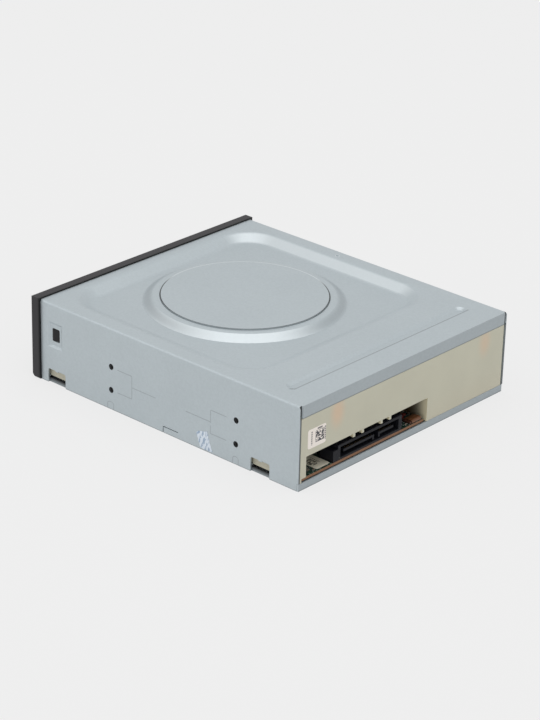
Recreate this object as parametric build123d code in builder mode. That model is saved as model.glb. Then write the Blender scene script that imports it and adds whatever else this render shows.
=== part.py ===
"""Half-height optical disc drive: a folded steel case, a moulded loader frame, a sliding disc tray,
and a tilting disc deck with its spindle, pickup and lead screw. Millimetres, +Z up, bezel towards -Y,
origin under the middle of the drive at the level that it stands on."""

import os
from math import acos, atan2, cos, degrees, hypot, pi, radians, sin, sqrt, tan

from build123d import *

os.makedirs("parts", exist_ok=True)

# Case
CASE_WIDTH = 146.0
CASE_HEIGHT = 41.3
CASE_DEPTH = 164.4
SHEET = 0.8
BEND_R = 1.2
FIT = 0.1
GAP = 0.3
HALF_WIDTH = CASE_WIDTH / 2
INNER_HALF = HALF_WIDTH - SHEET

# Roof stamping; places along the drive count from the front edge of the case
ROOF_RECESS = 3.4
RECESS_BORDER = 8.25
RECESS_START = 5.3
RECESS_END = CASE_DEPTH - 36.1
RECESS_MOUTH = (CASE_WIDTH - 2 * RECESS_BORDER, RECESS_END - RECESS_START)
RECESS_MOUTH_R = 19.0
RECESS_SLOPE_RUN = 6.7
RECESS_BEND_R = 5.0
DOME_FOOT_R = 48.7
DOME_RING_R = 43.8
DOME_DISC_R = 40.5
DOME_STEP = 0.45
DOME_BEND = (1.3, 0.3)
BEAD_SIDE_GAP = 11.1
BEAD_LENGTH = CASE_WIDTH - 2 * BEAD_SIDE_GAP
BEAD_WIDTH = 6.0
BEAD_DEPTH = 1.0
BEAD_TAPER = 58.0
BEAD_PLACE = CASE_DEPTH - 17.4
DIMPLE_PLACE = (5.4 - HALF_WIDTH, 63.2)
DIMPLE_R = 0.8
DIMPLE_DEPTH = 0.4

# Case mounting holes, as half-height drives have them
MOUNT_HOLE_R = 1.5
MOUNT_FIRST = 47.4
MOUNT_PITCH_Y = 79.25
MOUNT_LOW = 10.0
MOUNT_HIGH = 21.84
MOUNT_BOTTOM_INSET = 3.15
MOUNT_COLLAR = 1.0
MOUNT_COLLAR_R = 2.2

# Side wall openings
NOTCH_TOP = 7.2
FRONT_NOTCH = (4.7, 16.5)
REAR_NOTCH = (CASE_DEPTH - 28.6, CASE_DEPTH - 17.2)
NOTCH_R = 1.0
NOTCH_NIB = (2.0, 0.5)
SNAP_SLIT = (81.4, 91.0)
SNAP_SLIT_HEIGHT = 3.1
SNAP_SLIT_WIDTH = 0.4
LATCH_PLACE = 9.6
LATCH_HEIGHT = 25.3
LATCH_DENT = (9.5, 13.0)
LATCH_DENT_FLOOR = (7.0, 11.0)
LATCH_DENT_DEPTH = 0.8
LATCH_HOLE = (4.9, 6.7)
LATCH_HOLE_R = 0.8

# Rear of the case
REAR_LIP_HEIGHT = 6.2
REAR_LIP_LEFT = 0.9 - HALF_WIDTH
REAR_LIP_RIGHT = HALF_WIDTH - 1.3
BOTTOM_LIP_HEIGHT = 3.6
BOTTOM_LIP_LEFT = 0.5 - HALF_WIDTH
BOTTOM_FLANGE_HEIGHT = 3.3
BOTTOM_FLANGE_ENDS = (1.5, CASE_DEPTH - 2.0)
CORNER_RELIEF_R = 0.8

# Bottom cover
SCREW_INSET = 11.0
BOTTOM_SCREWS = (
    (SCREW_INSET - HALF_WIDTH, 24.0),
    (HALF_WIDTH - SCREW_INSET, 24.0),
    (SCREW_INSET - HALF_WIDTH, CASE_DEPTH - 14.4),
    (HALF_WIDTH - SCREW_INSET, 72.0),
)
DISH_R = 5.0
DISH_FLOOR_R = 4.0
DISH_DEPTH = 1.6
PANEL_FRONT = 68.0
PANEL_REAR = CASE_DEPTH - 12.4
PANEL_SIZE = (CASE_WIDTH - 42.0, PANEL_REAR - PANEL_FRONT)
PANEL_R = 9.0
PANEL_DEPTH = 0.7
PANEL_SLOPE = 0.9
SCREW_R = 1.3
SCREW_HEAD_R = 2.9
SCREW_HEAD_HEIGHT = 1.3
SCREW_LENGTH = 6.0
STANDOFF_R = (4.2, 2.4)

# Disc stack, counted down from the roof: tray, disc seat, clamp bracket
TRAY_BOTTOM = CASE_HEIGHT - 18.8
TRAY_TOP = TRAY_BOTTOM + 4.5
TRAY_SEAT = TRAY_BOTTOM + 2.5
TRAY_SMALL_SEAT = TRAY_BOTTOM + 1.8
TURNTABLE_SEAT = TRAY_BOTTOM + 5.0
HUB_TOP = TURNTABLE_SEAT + 3.0
BRACKET_BOTTOM = TURNTABLE_SEAT + 6.1
CLAMP_DOME_TOP = BRACKET_BOTTOM + 4.8

# Bezel
BEZEL_DEPTH = 5.6
BEZEL_OVERHANG = (1.2, 0.7)
BEZEL_WIDTH = CASE_WIDTH + 2 * BEZEL_OVERHANG[0]
BEZEL_HEIGHT = CASE_HEIGHT + BEZEL_OVERHANG[1]
BEZEL_PLATE = 2.4
BEZEL_WALL = 1.8
BEZEL_SEAT_GAP = 0.15
BEZEL_BOTTOM_R = 2.2
BEZEL_EDGE_R = 1.0
DOOR_BORDER = 7.6
DOOR_LOW = TRAY_BOTTOM - 4.5
DOOR_OPENING = (BEZEL_WIDTH - 2 * DOOR_BORDER, 17.4)
DOOR_CLEARANCE = 0.4
DOOR_PLATE = 2.2
DOOR_RIM = (1.4, 1.2)
DOOR_LUGS = (-46.0, 0.0, 46.0)
DOOR_LUG_WIDTH = 14.0
ARM_THICKNESS = 1.6
ARM_CLEARANCE = 0.2
ARM_MARGIN = 0.6
HOOK_REACH = 0.3
HOOK_FLAT = 0.8
BUTTON_SIZE = (12.0, 5.0)
BUTTON_PLACE = (HALF_WIDTH - 15.0, 11.0)
BUTTON_CLEARANCE = 0.3
BUTTON_FLANGE = 1.0
BUTTON_TRAVEL = 0.8
BUTTON_STEM_R = 1.6
SMALL_EDGE_R = 0.5
LIGHT_PIPE_SIZE = (4.0, 1.6)
LIGHT_PIPE_PLACE = (HALF_WIDTH - 37.0, 11.0)
PIN_HOLE_R = 0.7
PIN_HOLE_PLACE = (-41.0, 9.0)

# Loader frame
FRAME_BOTTOM = 3.7
FRAME_WALL = 2.0
FRAME_SIDE = HALF_WIDTH - 1.8
FRAME_INNER = FRAME_SIDE - FRAME_WALL
FRAME_SIDE_TOP = TRAY_BOTTOM + 8.5
FRAME_REAR_TOP = CASE_HEIGHT - REAR_LIP_HEIGHT - FIT
FRAME_FRONT = 1.0
FRAME_FRONT_TOP = TRAY_BOTTOM - 5.0
REAR_WALL_LEFT = 1.7 - HALF_WIDTH
REAR_WALL_RIGHT = HALF_WIDTH - 1.0
WINDOW_LEFT = -15.7
WINDOW_RIGHT = HALF_WIDTH - 4.8
WINDOW_TOP = 15.7
WINDOW_TEETH = (36.0, 30.0, 17.0, 11.0)
WINDOW_TOOTH = (1.3, 1.7)
INNER_WALL_DEPTH = 15.5
DECK_TOP = TRAY_BOTTOM - 10.0
DECK_THICKNESS = 2.0
DECK_RIGHT = 22.0
DECK_REAR = 33.0
DECK_RIBS = (7.2 - FRAME_INNER, -30.0, DECK_RIGHT - FRAME_WALL)
BOSS_R = 3.4
MOTOR_SHAFT_OPENING_R = 3.0
BOARD_POST = (4.0, 2.6)
ARM_POCKET = 1.0

# Disc tray
DISC_R = 60.0
DISC_CLEARANCE = 0.5
SMALL_DISC_R = 40.0
TRAY_GUIDE_GAP = 4.0
TRAY_WIDTH = 2 * (FRAME_INNER - TRAY_GUIDE_GAP)
TRAY_FRONT = 1.0
TRAY_REAR = CASE_DEPTH - 10.4
TRAY_CORNER_R = 6.0
TRAY_SLOT_WIDTH = 38.0
TRAY_LEDGE = 5.0
TRAY_FRONT_WALL = 2.0
TRAY_WALL_BELOW = 2.0
TRAY_WALL_ABOVE = 1.4
SCALLOP_PLACE = 46.0
SCALLOP_R = 9.0
SCALLOP_FLOOR = 1.2
TRAY_HOLLOW_X = (27.0, 45.0)
TRAY_HOLLOWS = ((8.0, 22.0), (TRAY_REAR - 44.0, TRAY_REAR - 26.0), (TRAY_REAR - 23.0, TRAY_REAR - 5.0))
TRAY_HOLLOW_DEPTH = 1.0
RACK_BACK = 2.6
LEDGE_THICKNESS = 1.6
LEDGE_WEBS = (24.0, 58.0, 92.0, 126.0)
LEDGE_WEB = (1.4, 7.0)
TRAY_HOOKS = (5.0, 92.0, TRAY_REAR - 14.0)
TRAY_HOOK = (2.0, 6.0, 2.0)
TRAY_GUIDES = (4.0, 58.0, TRAY_REAR - 42.0)
TRAY_GUIDE_LENGTH = 8.0

# Disc centre and clamp
SPINDLE_PLACE = 63.7
BRACKET_THICKNESS = 1.0
BRACKET_WIDTH = 44.0
BRACKET_HOLE_R = 16.0
BRACKET_SLOT = (30.0, 12.0)
BRACKET_SLOT_PLACE = 40.0
BRACKET_SCREW_PLACE = FRAME_SIDE - 3.6
BRACKET_SCREW_R = 0.9
BRACKET_SCREW_DEPTH = 4.0
TOWER_INNER = FRAME_SIDE - 5.4
CLAMP_FLANGE_R = 18.5
CLAMP_NECK_R = 14.4
CLAMP_RING_R = 13.0
CLAMP_FLANGE = 1.3
CLAMP_DOME_R = (9.0, 8.0)
YOKE_R = 6.5
YOKE_THICKNESS = 0.8

# Loading gears
MODULE_RACK = 1.0
MODULE_GEAR = 0.8
PINION_TEETH = 16
DRIVE_TEETH = 30
SMALL_TEETH = 14
PRESSURE = radians(20.0)
ADDENDUM = 0.8
DEDENDUM = 1.15
TOOTH_PLAY = 0.16
FLANK_STEPS = 2
DRIVE_PLACE = (-41.0, 19.5)
PULLEY_R = 12.5
PULLEY_RIM = 1.0
PULLEY_HEIGHT = 2.6
SMALL_GEAR_HEIGHT = 2.6
DRIVE_GEAR_HEIGHT = 2.0
MOTOR_PULLEY_R = 3.5
MOTOR_PLACE = (8.0, 19.5)
MOTOR_R = 10.0
MOTOR_BOTTOM = 1.3
MOTOR_SHAFT_R = 0.9
MOTOR_BOSS_R = 2.6
POST_R = 1.5
RUNNING = 0.08
BELT_THICKNESS = 1.1
BELT_PLAY = 0.12

# Tilting deck
LIFT_SIDE = 45.0
LIFT_FRONT = 41.0
LIFT_REAR = CASE_DEPTH - 18.4
LIFT_BOTTOM = TRAY_BOTTOM - 12.0
LIFT_TOP = TRAY_BOTTOM - 3.5
LIFT_WALL = 2.0
LIFT_FLOOR = 2.0
LIFT_PIVOT = (LIFT_REAR - 3.0, LIFT_BOTTOM + 3.0)
LIFT_PIVOT_R = 2.0
LIFT_PIVOT_LENGTH = 8.0
LIFT_TILT = 4.6
BEARING_LENGTH = 16.0
BEARING_WALL = 2.4
CAM_PINS = (-14.0, 14.0)
CAM_PIN_R = 1.6
CAM_PIN_HEIGHT = TRAY_BOTTOM - 6.5
CAM_PLAY = 0.25
CAM_TRAVEL = 20.0
CAM_OVERRUN = 0.4
CAM_MARGIN = 5.0
CAM_PLACE = (36.5, 39.0)
CAM_BOTTOM = 4.4
CAM_TOP = TRAY_BOTTOM - 3.1
CAM_PEG_R = 1.1
CROSSBAR = (33.8, 36.2)
PLATE_BOTTOM = TRAY_BOTTOM - 8.5
PLATE_THICKNESS = 1.2
PLATE_SIDE = 42.4
PLATE_FRONT = 46.0
PLATE_REAR = LIFT_REAR - 5.0
PLATE_WINDOW = (51.0, 74.5, LIFT_REAR - 7.5)
PLATE_TAB = (8.0, 1.0, 3.0)
DAMPER_X = 39.0
DAMPER_Y = (50.5, LIFT_REAR - 9.5)
DAMPER_R = 3.6
DAMPER_NECK = 1.0
DAMPER_LIP = 1.5
DAMPER_SEAT = (3.7, 5.0)
ROD_R = 1.5
ROD_X = 21.5
ROD_Z = PLATE_BOTTOM - 1.7
ROD_RANGE = (71.5, LIFT_REAR - 4.5)
ROD_HOLDER = (6.0, 2.8, 0.8)

# Spindle
ROTOR_R = 14.0
ROTOR_WALL = 1.0
SPINDLE_R = 1.5
SPINDLE_POST_R = 3.0
SPINDLE_POST_HEIGHT = 3.0
SPINDLE_POST_BELOW = 1.5
BASE_THICKNESS = 1.2
TURNTABLE_R = 15.0
HUB_R = 7.4
PAD_RANGE = (11.3, 14.6)
PAD_THICKNESS = 0.4

# Pickup
LENS_INNER = 24.0
PICKUP_BEFORE = 8.0
PICKUP_AFTER = 14.0
PICKUP_SIDE = 18.6
PICKUP_BOTTOM = PLATE_BOTTOM - 3.6
PICKUP_TOP = TRAY_BOTTOM - 3.0
PICKUP_COVER = 0.4
ROD_COVER = (2.8, 1.7)
WELL_HALF = 9.0
WELL_FRONT = 6.5
WELL_DEPTH = 3.5
CARRIER_HALF = 5.0
CARRIER_COIL = (8.0, 3.0, 2.0)
CARRIER_FLOAT = 0.9
CARRIER_REACH = 3.2
LENS_R = 3.0
LENS_SEAT = 1.0
LENS_EDGE = 0.3
LENS_RISE = 0.9
SCREW_X = 31.0
LEAD_R = 1.4
LEAD_END = LIFT_REAR - 9.5
SLED_MOTOR_R = 4.5
SLED_MOTOR_RANGE = (74.5, 86.0)
NUT_RANGE = (3.0, 11.0)
NUT_THICKNESS = 1.2
NUT_GAP = 0.2

# Main board and its parts; places count from its left, right, front or rear edge
BOARD_BOTTOM = 4.2
BOARD_THICKNESS = 1.3
BOARD_LEFT = -14.0
BOARD_RIGHT = HALF_WIDTH - 2.2
BOARD_FRONT = CASE_DEPTH - 68.4
BOARD_REAR_GAP = 0.5
BOARD_SCREWS = ((BOARD_LEFT + 5.0, CASE_DEPTH - 24.4), (BOARD_RIGHT - 6.8, CASE_DEPTH - 26.4))
CONTROLLER = (33.0, BOARD_FRONT + 30.0, 14.0, 14.0)
DRIVER = (BOARD_RIGHT - 16.8, BOARD_FRONT + 20.0, 12.0, 9.0)
MEMORY = (12.0, BOARD_FRONT + 30.0, 10.0, 7.0)
SOCKETS = (
    (16.0, BOARD_FRONT + 7.5, 22.0, 4.0),
    (HALF_WIDTH - 23.0, BOARD_FRONT + 5.5, 12.0, 4.0),
    (BOARD_LEFT + 5.0, CASE_DEPTH - 3.2, 8.0, 4.2),
)
CHIP_HEIGHT = 1.2
MEMORY_HEIGHT = 1.0
SOCKET_HEIGHT = 1.1
CAPACITOR_R = 3.1
CAPACITOR_HEIGHT = 5.4
CAPACITOR_X = BOARD_RIGHT - 6.3
CAPACITOR_Y = (BOARD_FRONT + 26.0, BOARD_FRONT + 33.5)

# Combined power and data plug, with the standard widths of its tongues and their pitch
SATA_LEFT = 1.9
SATA_RIGHT = 49.5
SATA_EAR = 3.2
SATA_EAR_SETBACK = 4.0
SATA_DEPTH = 12.0
SATA_HEIGHT = 7.6
SATA_EAR_HEIGHT = 5.6
SATA_WALL = 1.3
SATA_END_WALLS = (2.3, 1.7)
SATA_FLOOR = 1.1
SATA_MOUTH = 9.0
TONGUE_HEIGHT = 3.0
TONGUE_THICKNESS = 1.2
TONGUE_SETBACK = 0.4
TONGUE_KEY = 1.2
POWER_TONGUE = (20.9, 42.0)
DATA_TONGUE = (7.4, 18.0)
POWER_CONTACTS = 15
DATA_CONTACTS = 7
CONTACT_PITCH = 1.27
CONTACT_SIZE = (0.7, 7.8, 0.12)
CONTACT_SETBACK = 1.0

# Front board
FRONT_BOARD_PLACE = 9.0
FRONT_BOARD_SIZE = (40.0, 12.0)
FRONT_BOARD_X = HALF_WIDTH - 27.0
FRONT_BOARD_THICKNESS = 1.2
SWITCH_REACH = 3.1
SWITCH_HALF = 3.0
SWITCH_PLUNGER = (1.3, 0.6)
STATUS_LIGHT_REACH = 2.0
STATUS_LIGHT_HALF = (2.0, 1.5)
RIBBON_X = (HALF_WIDTH - 29.0, HALF_WIDTH - 19.0)
RIBBON = 0.3
RIBBON_RISE = 5.0
RIBBON_PLUG_IN = 3.5

# Places worked out from the sizes above
FRONT_Y = (BEZEL_DEPTH - CASE_DEPTH) / 2
REAR_Y = FRONT_Y + CASE_DEPTH
MIDDLE_Y = (FRONT_Y + REAR_Y) / 2
SPINDLE_Y = FRONT_Y + SPINDLE_PLACE
BOARD_TOP = BOARD_BOTTOM + BOARD_THICKNESS
DECK_BOTTOM = DECK_TOP - DECK_THICKNESS
PINION_R = PINION_TEETH * MODULE_RACK / 2
DRIVE_R = DRIVE_TEETH * MODULE_GEAR / 2
SMALL_R = SMALL_TEETH * MODULE_GEAR / 2
DRIVE_XY = (DRIVE_PLACE[0], FRONT_Y + DRIVE_PLACE[1])
PULLEY_XY = (DRIVE_PLACE[0] + DRIVE_R + SMALL_R, FRONT_Y + DRIVE_PLACE[1])
MOTOR_XY = (MOTOR_PLACE[0], FRONT_Y + MOTOR_PLACE[1])
PULLEY_BOTTOM = DECK_TOP + GAP
SMALL_GEAR_BOTTOM = PULLEY_BOTTOM + PULLEY_HEIGHT
DRIVE_GEAR_BOTTOM = SMALL_GEAR_BOTTOM + GAP
PINION_TOP = TRAY_BOTTOM - GAP
RACK_BOTTOM = DRIVE_GEAR_BOTTOM + DRIVE_GEAR_HEIGHT + 2 * GAP
LIFT_PIVOT_Y = FRONT_Y + LIFT_PIVOT[0]
CAM_DROP = (LIFT_PIVOT[0] - sum(CAM_PLACE) / 2) * sin(radians(LIFT_TILT))
LENS_Y = SPINDLE_Y + LENS_INNER


def back(distance):
    """Y of a place that lies a distance behind the front edge of the case."""
    return FRONT_Y + distance


def side_plane(side, inset=0.0):
    """Plane on the outer face of a side wall: local x runs along side * Y and local y up."""
    return Plane(origin=(side * (HALF_WIDTH - inset), 0, 0), x_dir=(0, side, 0), z_dir=(side, 0, 0))


def front_plane(y):
    """Upright plane at y that looks out of the bezel: local x is X and local y is Z."""
    return Plane(origin=(0, y, 0), x_dir=(1, 0, 0), z_dir=(0, -1, 0))


def span_rectangle(x_low, x_high, y_low, y_high):
    """Sketch rectangle between two pairs of limits."""
    with Locations(((x_low + x_high) / 2, (y_low + y_high) / 2)):
        Rectangle(x_high - x_low, y_high - y_low)


def block(x_range, y_range, z_range, mode=Mode.ADD):
    """Box between limits, drawn on its base and extruded up."""
    with BuildSketch(Plane.XY.offset(z_range[0])) as base:
        span_rectangle(*x_range, *y_range)
    extrude(base.sketch, amount=z_range[1] - z_range[0], mode=mode)


def round_post(place, radius, z_range, mode=Mode.ADD):
    """Upright cylinder at a place between two heights."""
    with BuildSketch(Plane.XY.offset(z_range[0])) as base:
        with Locations(place):
            Circle(radius)
    extrude(base.sketch, amount=z_range[1] - z_range[0], mode=mode)


def gear_points(teeth, module, phase=0.0):
    """Closed involute outline of a spur gear with thinned teeth; phase is in tooth pitches."""
    pitch_r = teeth * module / 2
    base_r = pitch_r * cos(PRESSURE)
    tip_r = pitch_r + ADDENDUM * module
    root_r = pitch_r - DEDENDUM * module
    half_base = pi / (2 * teeth) + tan(PRESSURE) - PRESSURE - TOOTH_PLAY / (2 * pitch_r)
    start_r = max(base_r, root_r)
    flank = [(root_r, half_base)] if root_r < base_r else []
    for step in range(FLANK_STEPS + 1):
        radius = start_r + (tip_r - start_r) * step / FLANK_STEPS
        roll = acos(min(1.0, base_r / radius))
        flank.append((radius, half_base - tan(roll) + roll))
    points = []
    for tooth in range(teeth):
        middle = 2 * pi * (tooth + phase) / teeth
        for radius, angle in flank:
            points.append((radius * cos(middle - angle), radius * sin(middle - angle)))
        for radius, angle in reversed(flank):
            points.append((radius * cos(middle + angle), radius * sin(middle + angle)))
    return points


def outline_face(points):
    """Filled sketch face from a list of corner points, inside a sketch block."""
    with BuildLine() as outline:
        Polyline(*points, close=True)
    make_face(outline.edges())


# The roof's upper face as a solid: recess with sloped walls, dome with a sheared disc, rear bead
ROOF_LOW = CASE_HEIGHT - 2 * ROOF_RECESS - SHEET
RECESS_Y = back(RECESS_START + RECESS_MOUTH[1] / 2)
RECESS_FLOOR_Z = CASE_HEIGHT - ROOF_RECESS
with BuildPart() as roof_form:
    block((-HALF_WIDTH, HALF_WIDTH), (FRONT_Y, REAR_Y), (ROOF_LOW, CASE_HEIGHT))
    with BuildSketch(Plane.XY.offset(CASE_HEIGHT)):
        with Locations((0, RECESS_Y)):
            RectangleRounded(*RECESS_MOUTH, RECESS_MOUTH_R)
    with BuildSketch(Plane.XY.offset(RECESS_FLOOR_Z)):
        with Locations((0, RECESS_Y)):
            RectangleRounded(
                RECESS_MOUTH[0] - 2 * RECESS_SLOPE_RUN,
                RECESS_MOUTH[1] - 2 * RECESS_SLOPE_RUN,
                RECESS_MOUTH_R - RECESS_SLOPE_RUN,
            )
    loft(mode=Mode.SUBTRACT)
    # Soft bends round the mouth and the floor of the recess
    floor_edges = roof_form.edges().filter_by_position(Axis.Z, RECESS_FLOOR_Z - FIT, RECESS_FLOOR_Z + FIT)
    mouth_edges = (
        roof_form.edges()
        .group_by(Axis.Z)[-1]
        .filter_by_position(Axis.X, FIT - HALF_WIDTH, HALF_WIDTH - FIT)
        .filter_by_position(Axis.Y, FRONT_Y + FIT, REAR_Y - FIT)
    )
    fillet(floor_edges + mouth_edges, RECESS_BEND_R)
    with BuildSketch(Plane.XY.offset(CASE_HEIGHT)):
        with Locations((0, back(BEAD_PLACE))):
            SlotOverall(BEAD_LENGTH, BEAD_WIDTH)
    extrude(amount=-BEAD_DEPTH, taper=BEAD_TAPER, mode=Mode.SUBTRACT)
    with BuildSketch(Plane.XY.offset(CASE_HEIGHT)):
        with Locations((DIMPLE_PLACE[0], back(DIMPLE_PLACE[1]))):
            Circle(DIMPLE_R)
    extrude(amount=-DIMPLE_DEPTH, mode=Mode.SUBTRACT)
    with BuildSketch(front_plane(SPINDLE_Y)):
        with BuildLine():
            Polyline(
                (0, RECESS_FLOOR_Z - SHEET),
                (DOME_FOOT_R, RECESS_FLOOR_Z - SHEET),
                (DOME_FOOT_R, RECESS_FLOOR_Z),
                (DOME_RING_R + DOME_BEND[1], CASE_HEIGHT - DOME_STEP - DOME_BEND[1]),
                (DOME_RING_R - DOME_BEND[0], CASE_HEIGHT - DOME_STEP),
                (DOME_DISC_R, CASE_HEIGHT - DOME_STEP),
                (DOME_DISC_R, CASE_HEIGHT),
                (0, CASE_HEIGHT),
                close=True,
            )
        make_face()
    revolve(axis=Axis((0, SPINDLE_Y, 0), (0, 0, 1)))

with BuildPart() as top_cover:
    add(roof_form.part)
    add(roof_form.part.moved(Location((0, 0, -SHEET))), mode=Mode.SUBTRACT)
    for side in (1, -1):
        with BuildSketch(side_plane(side)):
            span_rectangle(*sorted((side * FRONT_Y, side * REAR_Y)), 0, CASE_HEIGHT)
        extrude(amount=-SHEET)
    block(
        (REAR_LIP_LEFT, REAR_LIP_RIGHT),
        (REAR_Y - SHEET, REAR_Y),
        (CASE_HEIGHT - REAR_LIP_HEIGHT, CASE_HEIGHT),
    )
    roof_edges = top_cover.edges().group_by(Axis.Z)[-1]
    fillet(roof_edges.filter_by(Axis.Y).filter_by_position(Axis.Y, MIDDLE_Y - 1, MIDDLE_Y + 1), BEND_R)
    for side in (1, -1):
        corner = (side * INNER_HALF, REAR_Y)
        round_post(corner, CORNER_RELIEF_R, (CASE_HEIGHT - REAR_LIP_HEIGHT, CASE_HEIGHT), Mode.SUBTRACT)
        with BuildSketch(side_plane(side, SHEET)):
            with Locations((side * back(LATCH_PLACE), LATCH_HEIGHT)):
                Rectangle(*LATCH_DENT)
        with BuildSketch(side_plane(side, SHEET + LATCH_DENT_DEPTH)):
            with Locations((side * back(LATCH_PLACE), LATCH_HEIGHT)):
                Rectangle(*LATCH_DENT_FLOOR)
        loft()
        with BuildSketch(side_plane(side)):
            with Locations((side * back(LATCH_PLACE), LATCH_HEIGHT)):
                Rectangle(*LATCH_DENT)
        with BuildSketch(side_plane(side, LATCH_DENT_DEPTH)):
            with Locations((side * back(LATCH_PLACE), LATCH_HEIGHT)):
                Rectangle(*LATCH_DENT_FLOOR)
        loft(mode=Mode.SUBTRACT)
        with BuildSketch(side_plane(side)):
            with Locations((side * back(LATCH_PLACE), LATCH_HEIGHT)):
                RectangleRounded(*LATCH_HOLE, LATCH_HOLE_R)
            for place in (MOUNT_FIRST, MOUNT_FIRST + MOUNT_PITCH_Y):
                for height in (MOUNT_LOW, MOUNT_HIGH):
                    with Locations((side * back(place), height)):
                        Circle(MOUNT_HOLE_R)
            for start, end in (FRONT_NOTCH, REAR_NOTCH):
                with Locations((side * back((start + end) / 2), 0)):
                    RectangleRounded(end - start, 2 * NOTCH_TOP, NOTCH_R)
            with Locations((side * back(sum(SNAP_SLIT) / 2), SNAP_SLIT_HEIGHT)):
                Rectangle(SNAP_SLIT[1] - SNAP_SLIT[0], SNAP_SLIT_WIDTH)
            with Locations((side * back(SNAP_SLIT[0]), SNAP_SLIT_HEIGHT / 2)):
                Rectangle(SNAP_SLIT_WIDTH, SNAP_SLIT_HEIGHT + SNAP_SLIT_WIDTH)
            with Locations((side * REAR_Y, 0)):
                Rectangle(2 * (SHEET + FIT), 2 * (BOTTOM_LIP_HEIGHT + FIT))
        extrude(amount=-2 * (SHEET + LATCH_DENT_DEPTH), mode=Mode.SUBTRACT)
        with BuildSketch(side_plane(side)):
            for start, end in (FRONT_NOTCH, REAR_NOTCH):
                with Locations((side * back((start + end) / 2), NOTCH_TOP - NOTCH_NIB[1] / 2)):
                    Rectangle(*NOTCH_NIB)
        extrude(amount=-SHEET)
top_cover.part.label = "top_cover"
export_step(top_cover.part, "parts/top_cover.step")

# Bottom cover: plate with upturned flanges, rear lip, stamped panel, dished screw seats, board standoffs
BOTTOM_HALF = INNER_HALF - FIT
BOTTOM_FRONT = back(GAP)
PANEL_Y = back((PANEL_FRONT + PANEL_REAR) / 2)
MOUNT_BOTTOM_X = HALF_WIDTH - MOUNT_BOTTOM_INSET
SCREW_SPOTS = [(x, back(y)) for x, y in BOTTOM_SCREWS]
BOARD_SPOTS = [(x, back(y)) for x, y in BOARD_SCREWS]
NOTCH_FLANGE_CUT = (SHEET + SCREW_HEAD_HEIGHT, BOTTOM_FLANGE_HEIGHT + FIT)
with BuildPart() as bottom_form:
    block((-BOTTOM_HALF, BOTTOM_HALF), (BOTTOM_FRONT, REAR_Y), (-SHEET, 0))
    with BuildSketch(Plane.XY):
        with Locations((0, PANEL_Y)):
            RectangleRounded(*PANEL_SIZE, PANEL_R)
    with BuildSketch(Plane.XY.offset(PANEL_DEPTH)):
        with Locations((0, PANEL_Y)):
            RectangleRounded(
                PANEL_SIZE[0] - 2 * PANEL_SLOPE,
                PANEL_SIZE[1] - 2 * PANEL_SLOPE,
                PANEL_R - PANEL_SLOPE,
            )
    loft()
    with Locations(*[(x, y, DISH_DEPTH / 2) for x, y in SCREW_SPOTS]):
        Cone(DISH_R, DISH_FLOOR_R, DISH_DEPTH)

with BuildPart() as bottom_cover:
    add(bottom_form.part.moved(Location((0, 0, SHEET))))
    add(bottom_form.part, mode=Mode.SUBTRACT)
    standoff = BOARD_BOTTOM - SHEET
    for spot in BOARD_SPOTS:
        with Locations((*spot, SHEET + standoff / 2)):
            Cone(*STANDOFF_R, standoff)
        round_post(spot, SCREW_R, (0, BOARD_BOTTOM), Mode.SUBTRACT)
    for spot in SCREW_SPOTS:
        round_post(spot, SCREW_R + FIT, (0, DISH_DEPTH + 2 * SHEET), Mode.SUBTRACT)
    for side in (1, -1):
        flange = sorted((side * (BOTTOM_HALF - SHEET), side * BOTTOM_HALF))
        block(flange, (back(BOTTOM_FLANGE_ENDS[0]), back(BOTTOM_FLANGE_ENDS[1])), (0, BOTTOM_FLANGE_HEIGHT))
        for start, end in (FRONT_NOTCH, REAR_NOTCH):
            block(flange, (back(start), back(end)), NOTCH_FLANGE_CUT, Mode.SUBTRACT)
        for place in (MOUNT_FIRST, MOUNT_FIRST + MOUNT_PITCH_Y):
            spot = (side * MOUNT_BOTTOM_X, back(place))
            round_post(spot, MOUNT_COLLAR_R, (0, SHEET + MOUNT_COLLAR))
            round_post(spot, MOUNT_HOLE_R, (0, SHEET + MOUNT_COLLAR), Mode.SUBTRACT)
    block((BOTTOM_LIP_LEFT, HALF_WIDTH), (REAR_Y - SHEET, REAR_Y), (0, BOTTOM_LIP_HEIGHT))
bottom_cover.part.label = "bottom_cover"
export_step(bottom_cover.part, "parts/bottom_cover.step")


def pan_screw(spot, seat, length, upward=True, radius=SCREW_R):
    """Pan-head screw whose head sits under or on a seat height and whose shank runs from it."""
    way = 1 if upward else -1
    head = sorted((seat, seat - way * SCREW_HEAD_HEIGHT))
    shank = sorted((seat, seat + way * length))
    round_post(spot, SCREW_HEAD_R, head)
    round_post(spot, radius, shank)


with BuildPart() as cover_screws:
    for spot in SCREW_SPOTS:
        pan_screw(spot, DISH_DEPTH, SCREW_LENGTH)
cover_screws.part.label = "cover_screws"
export_step(cover_screws.part, "parts/cover_screws.step")

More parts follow.
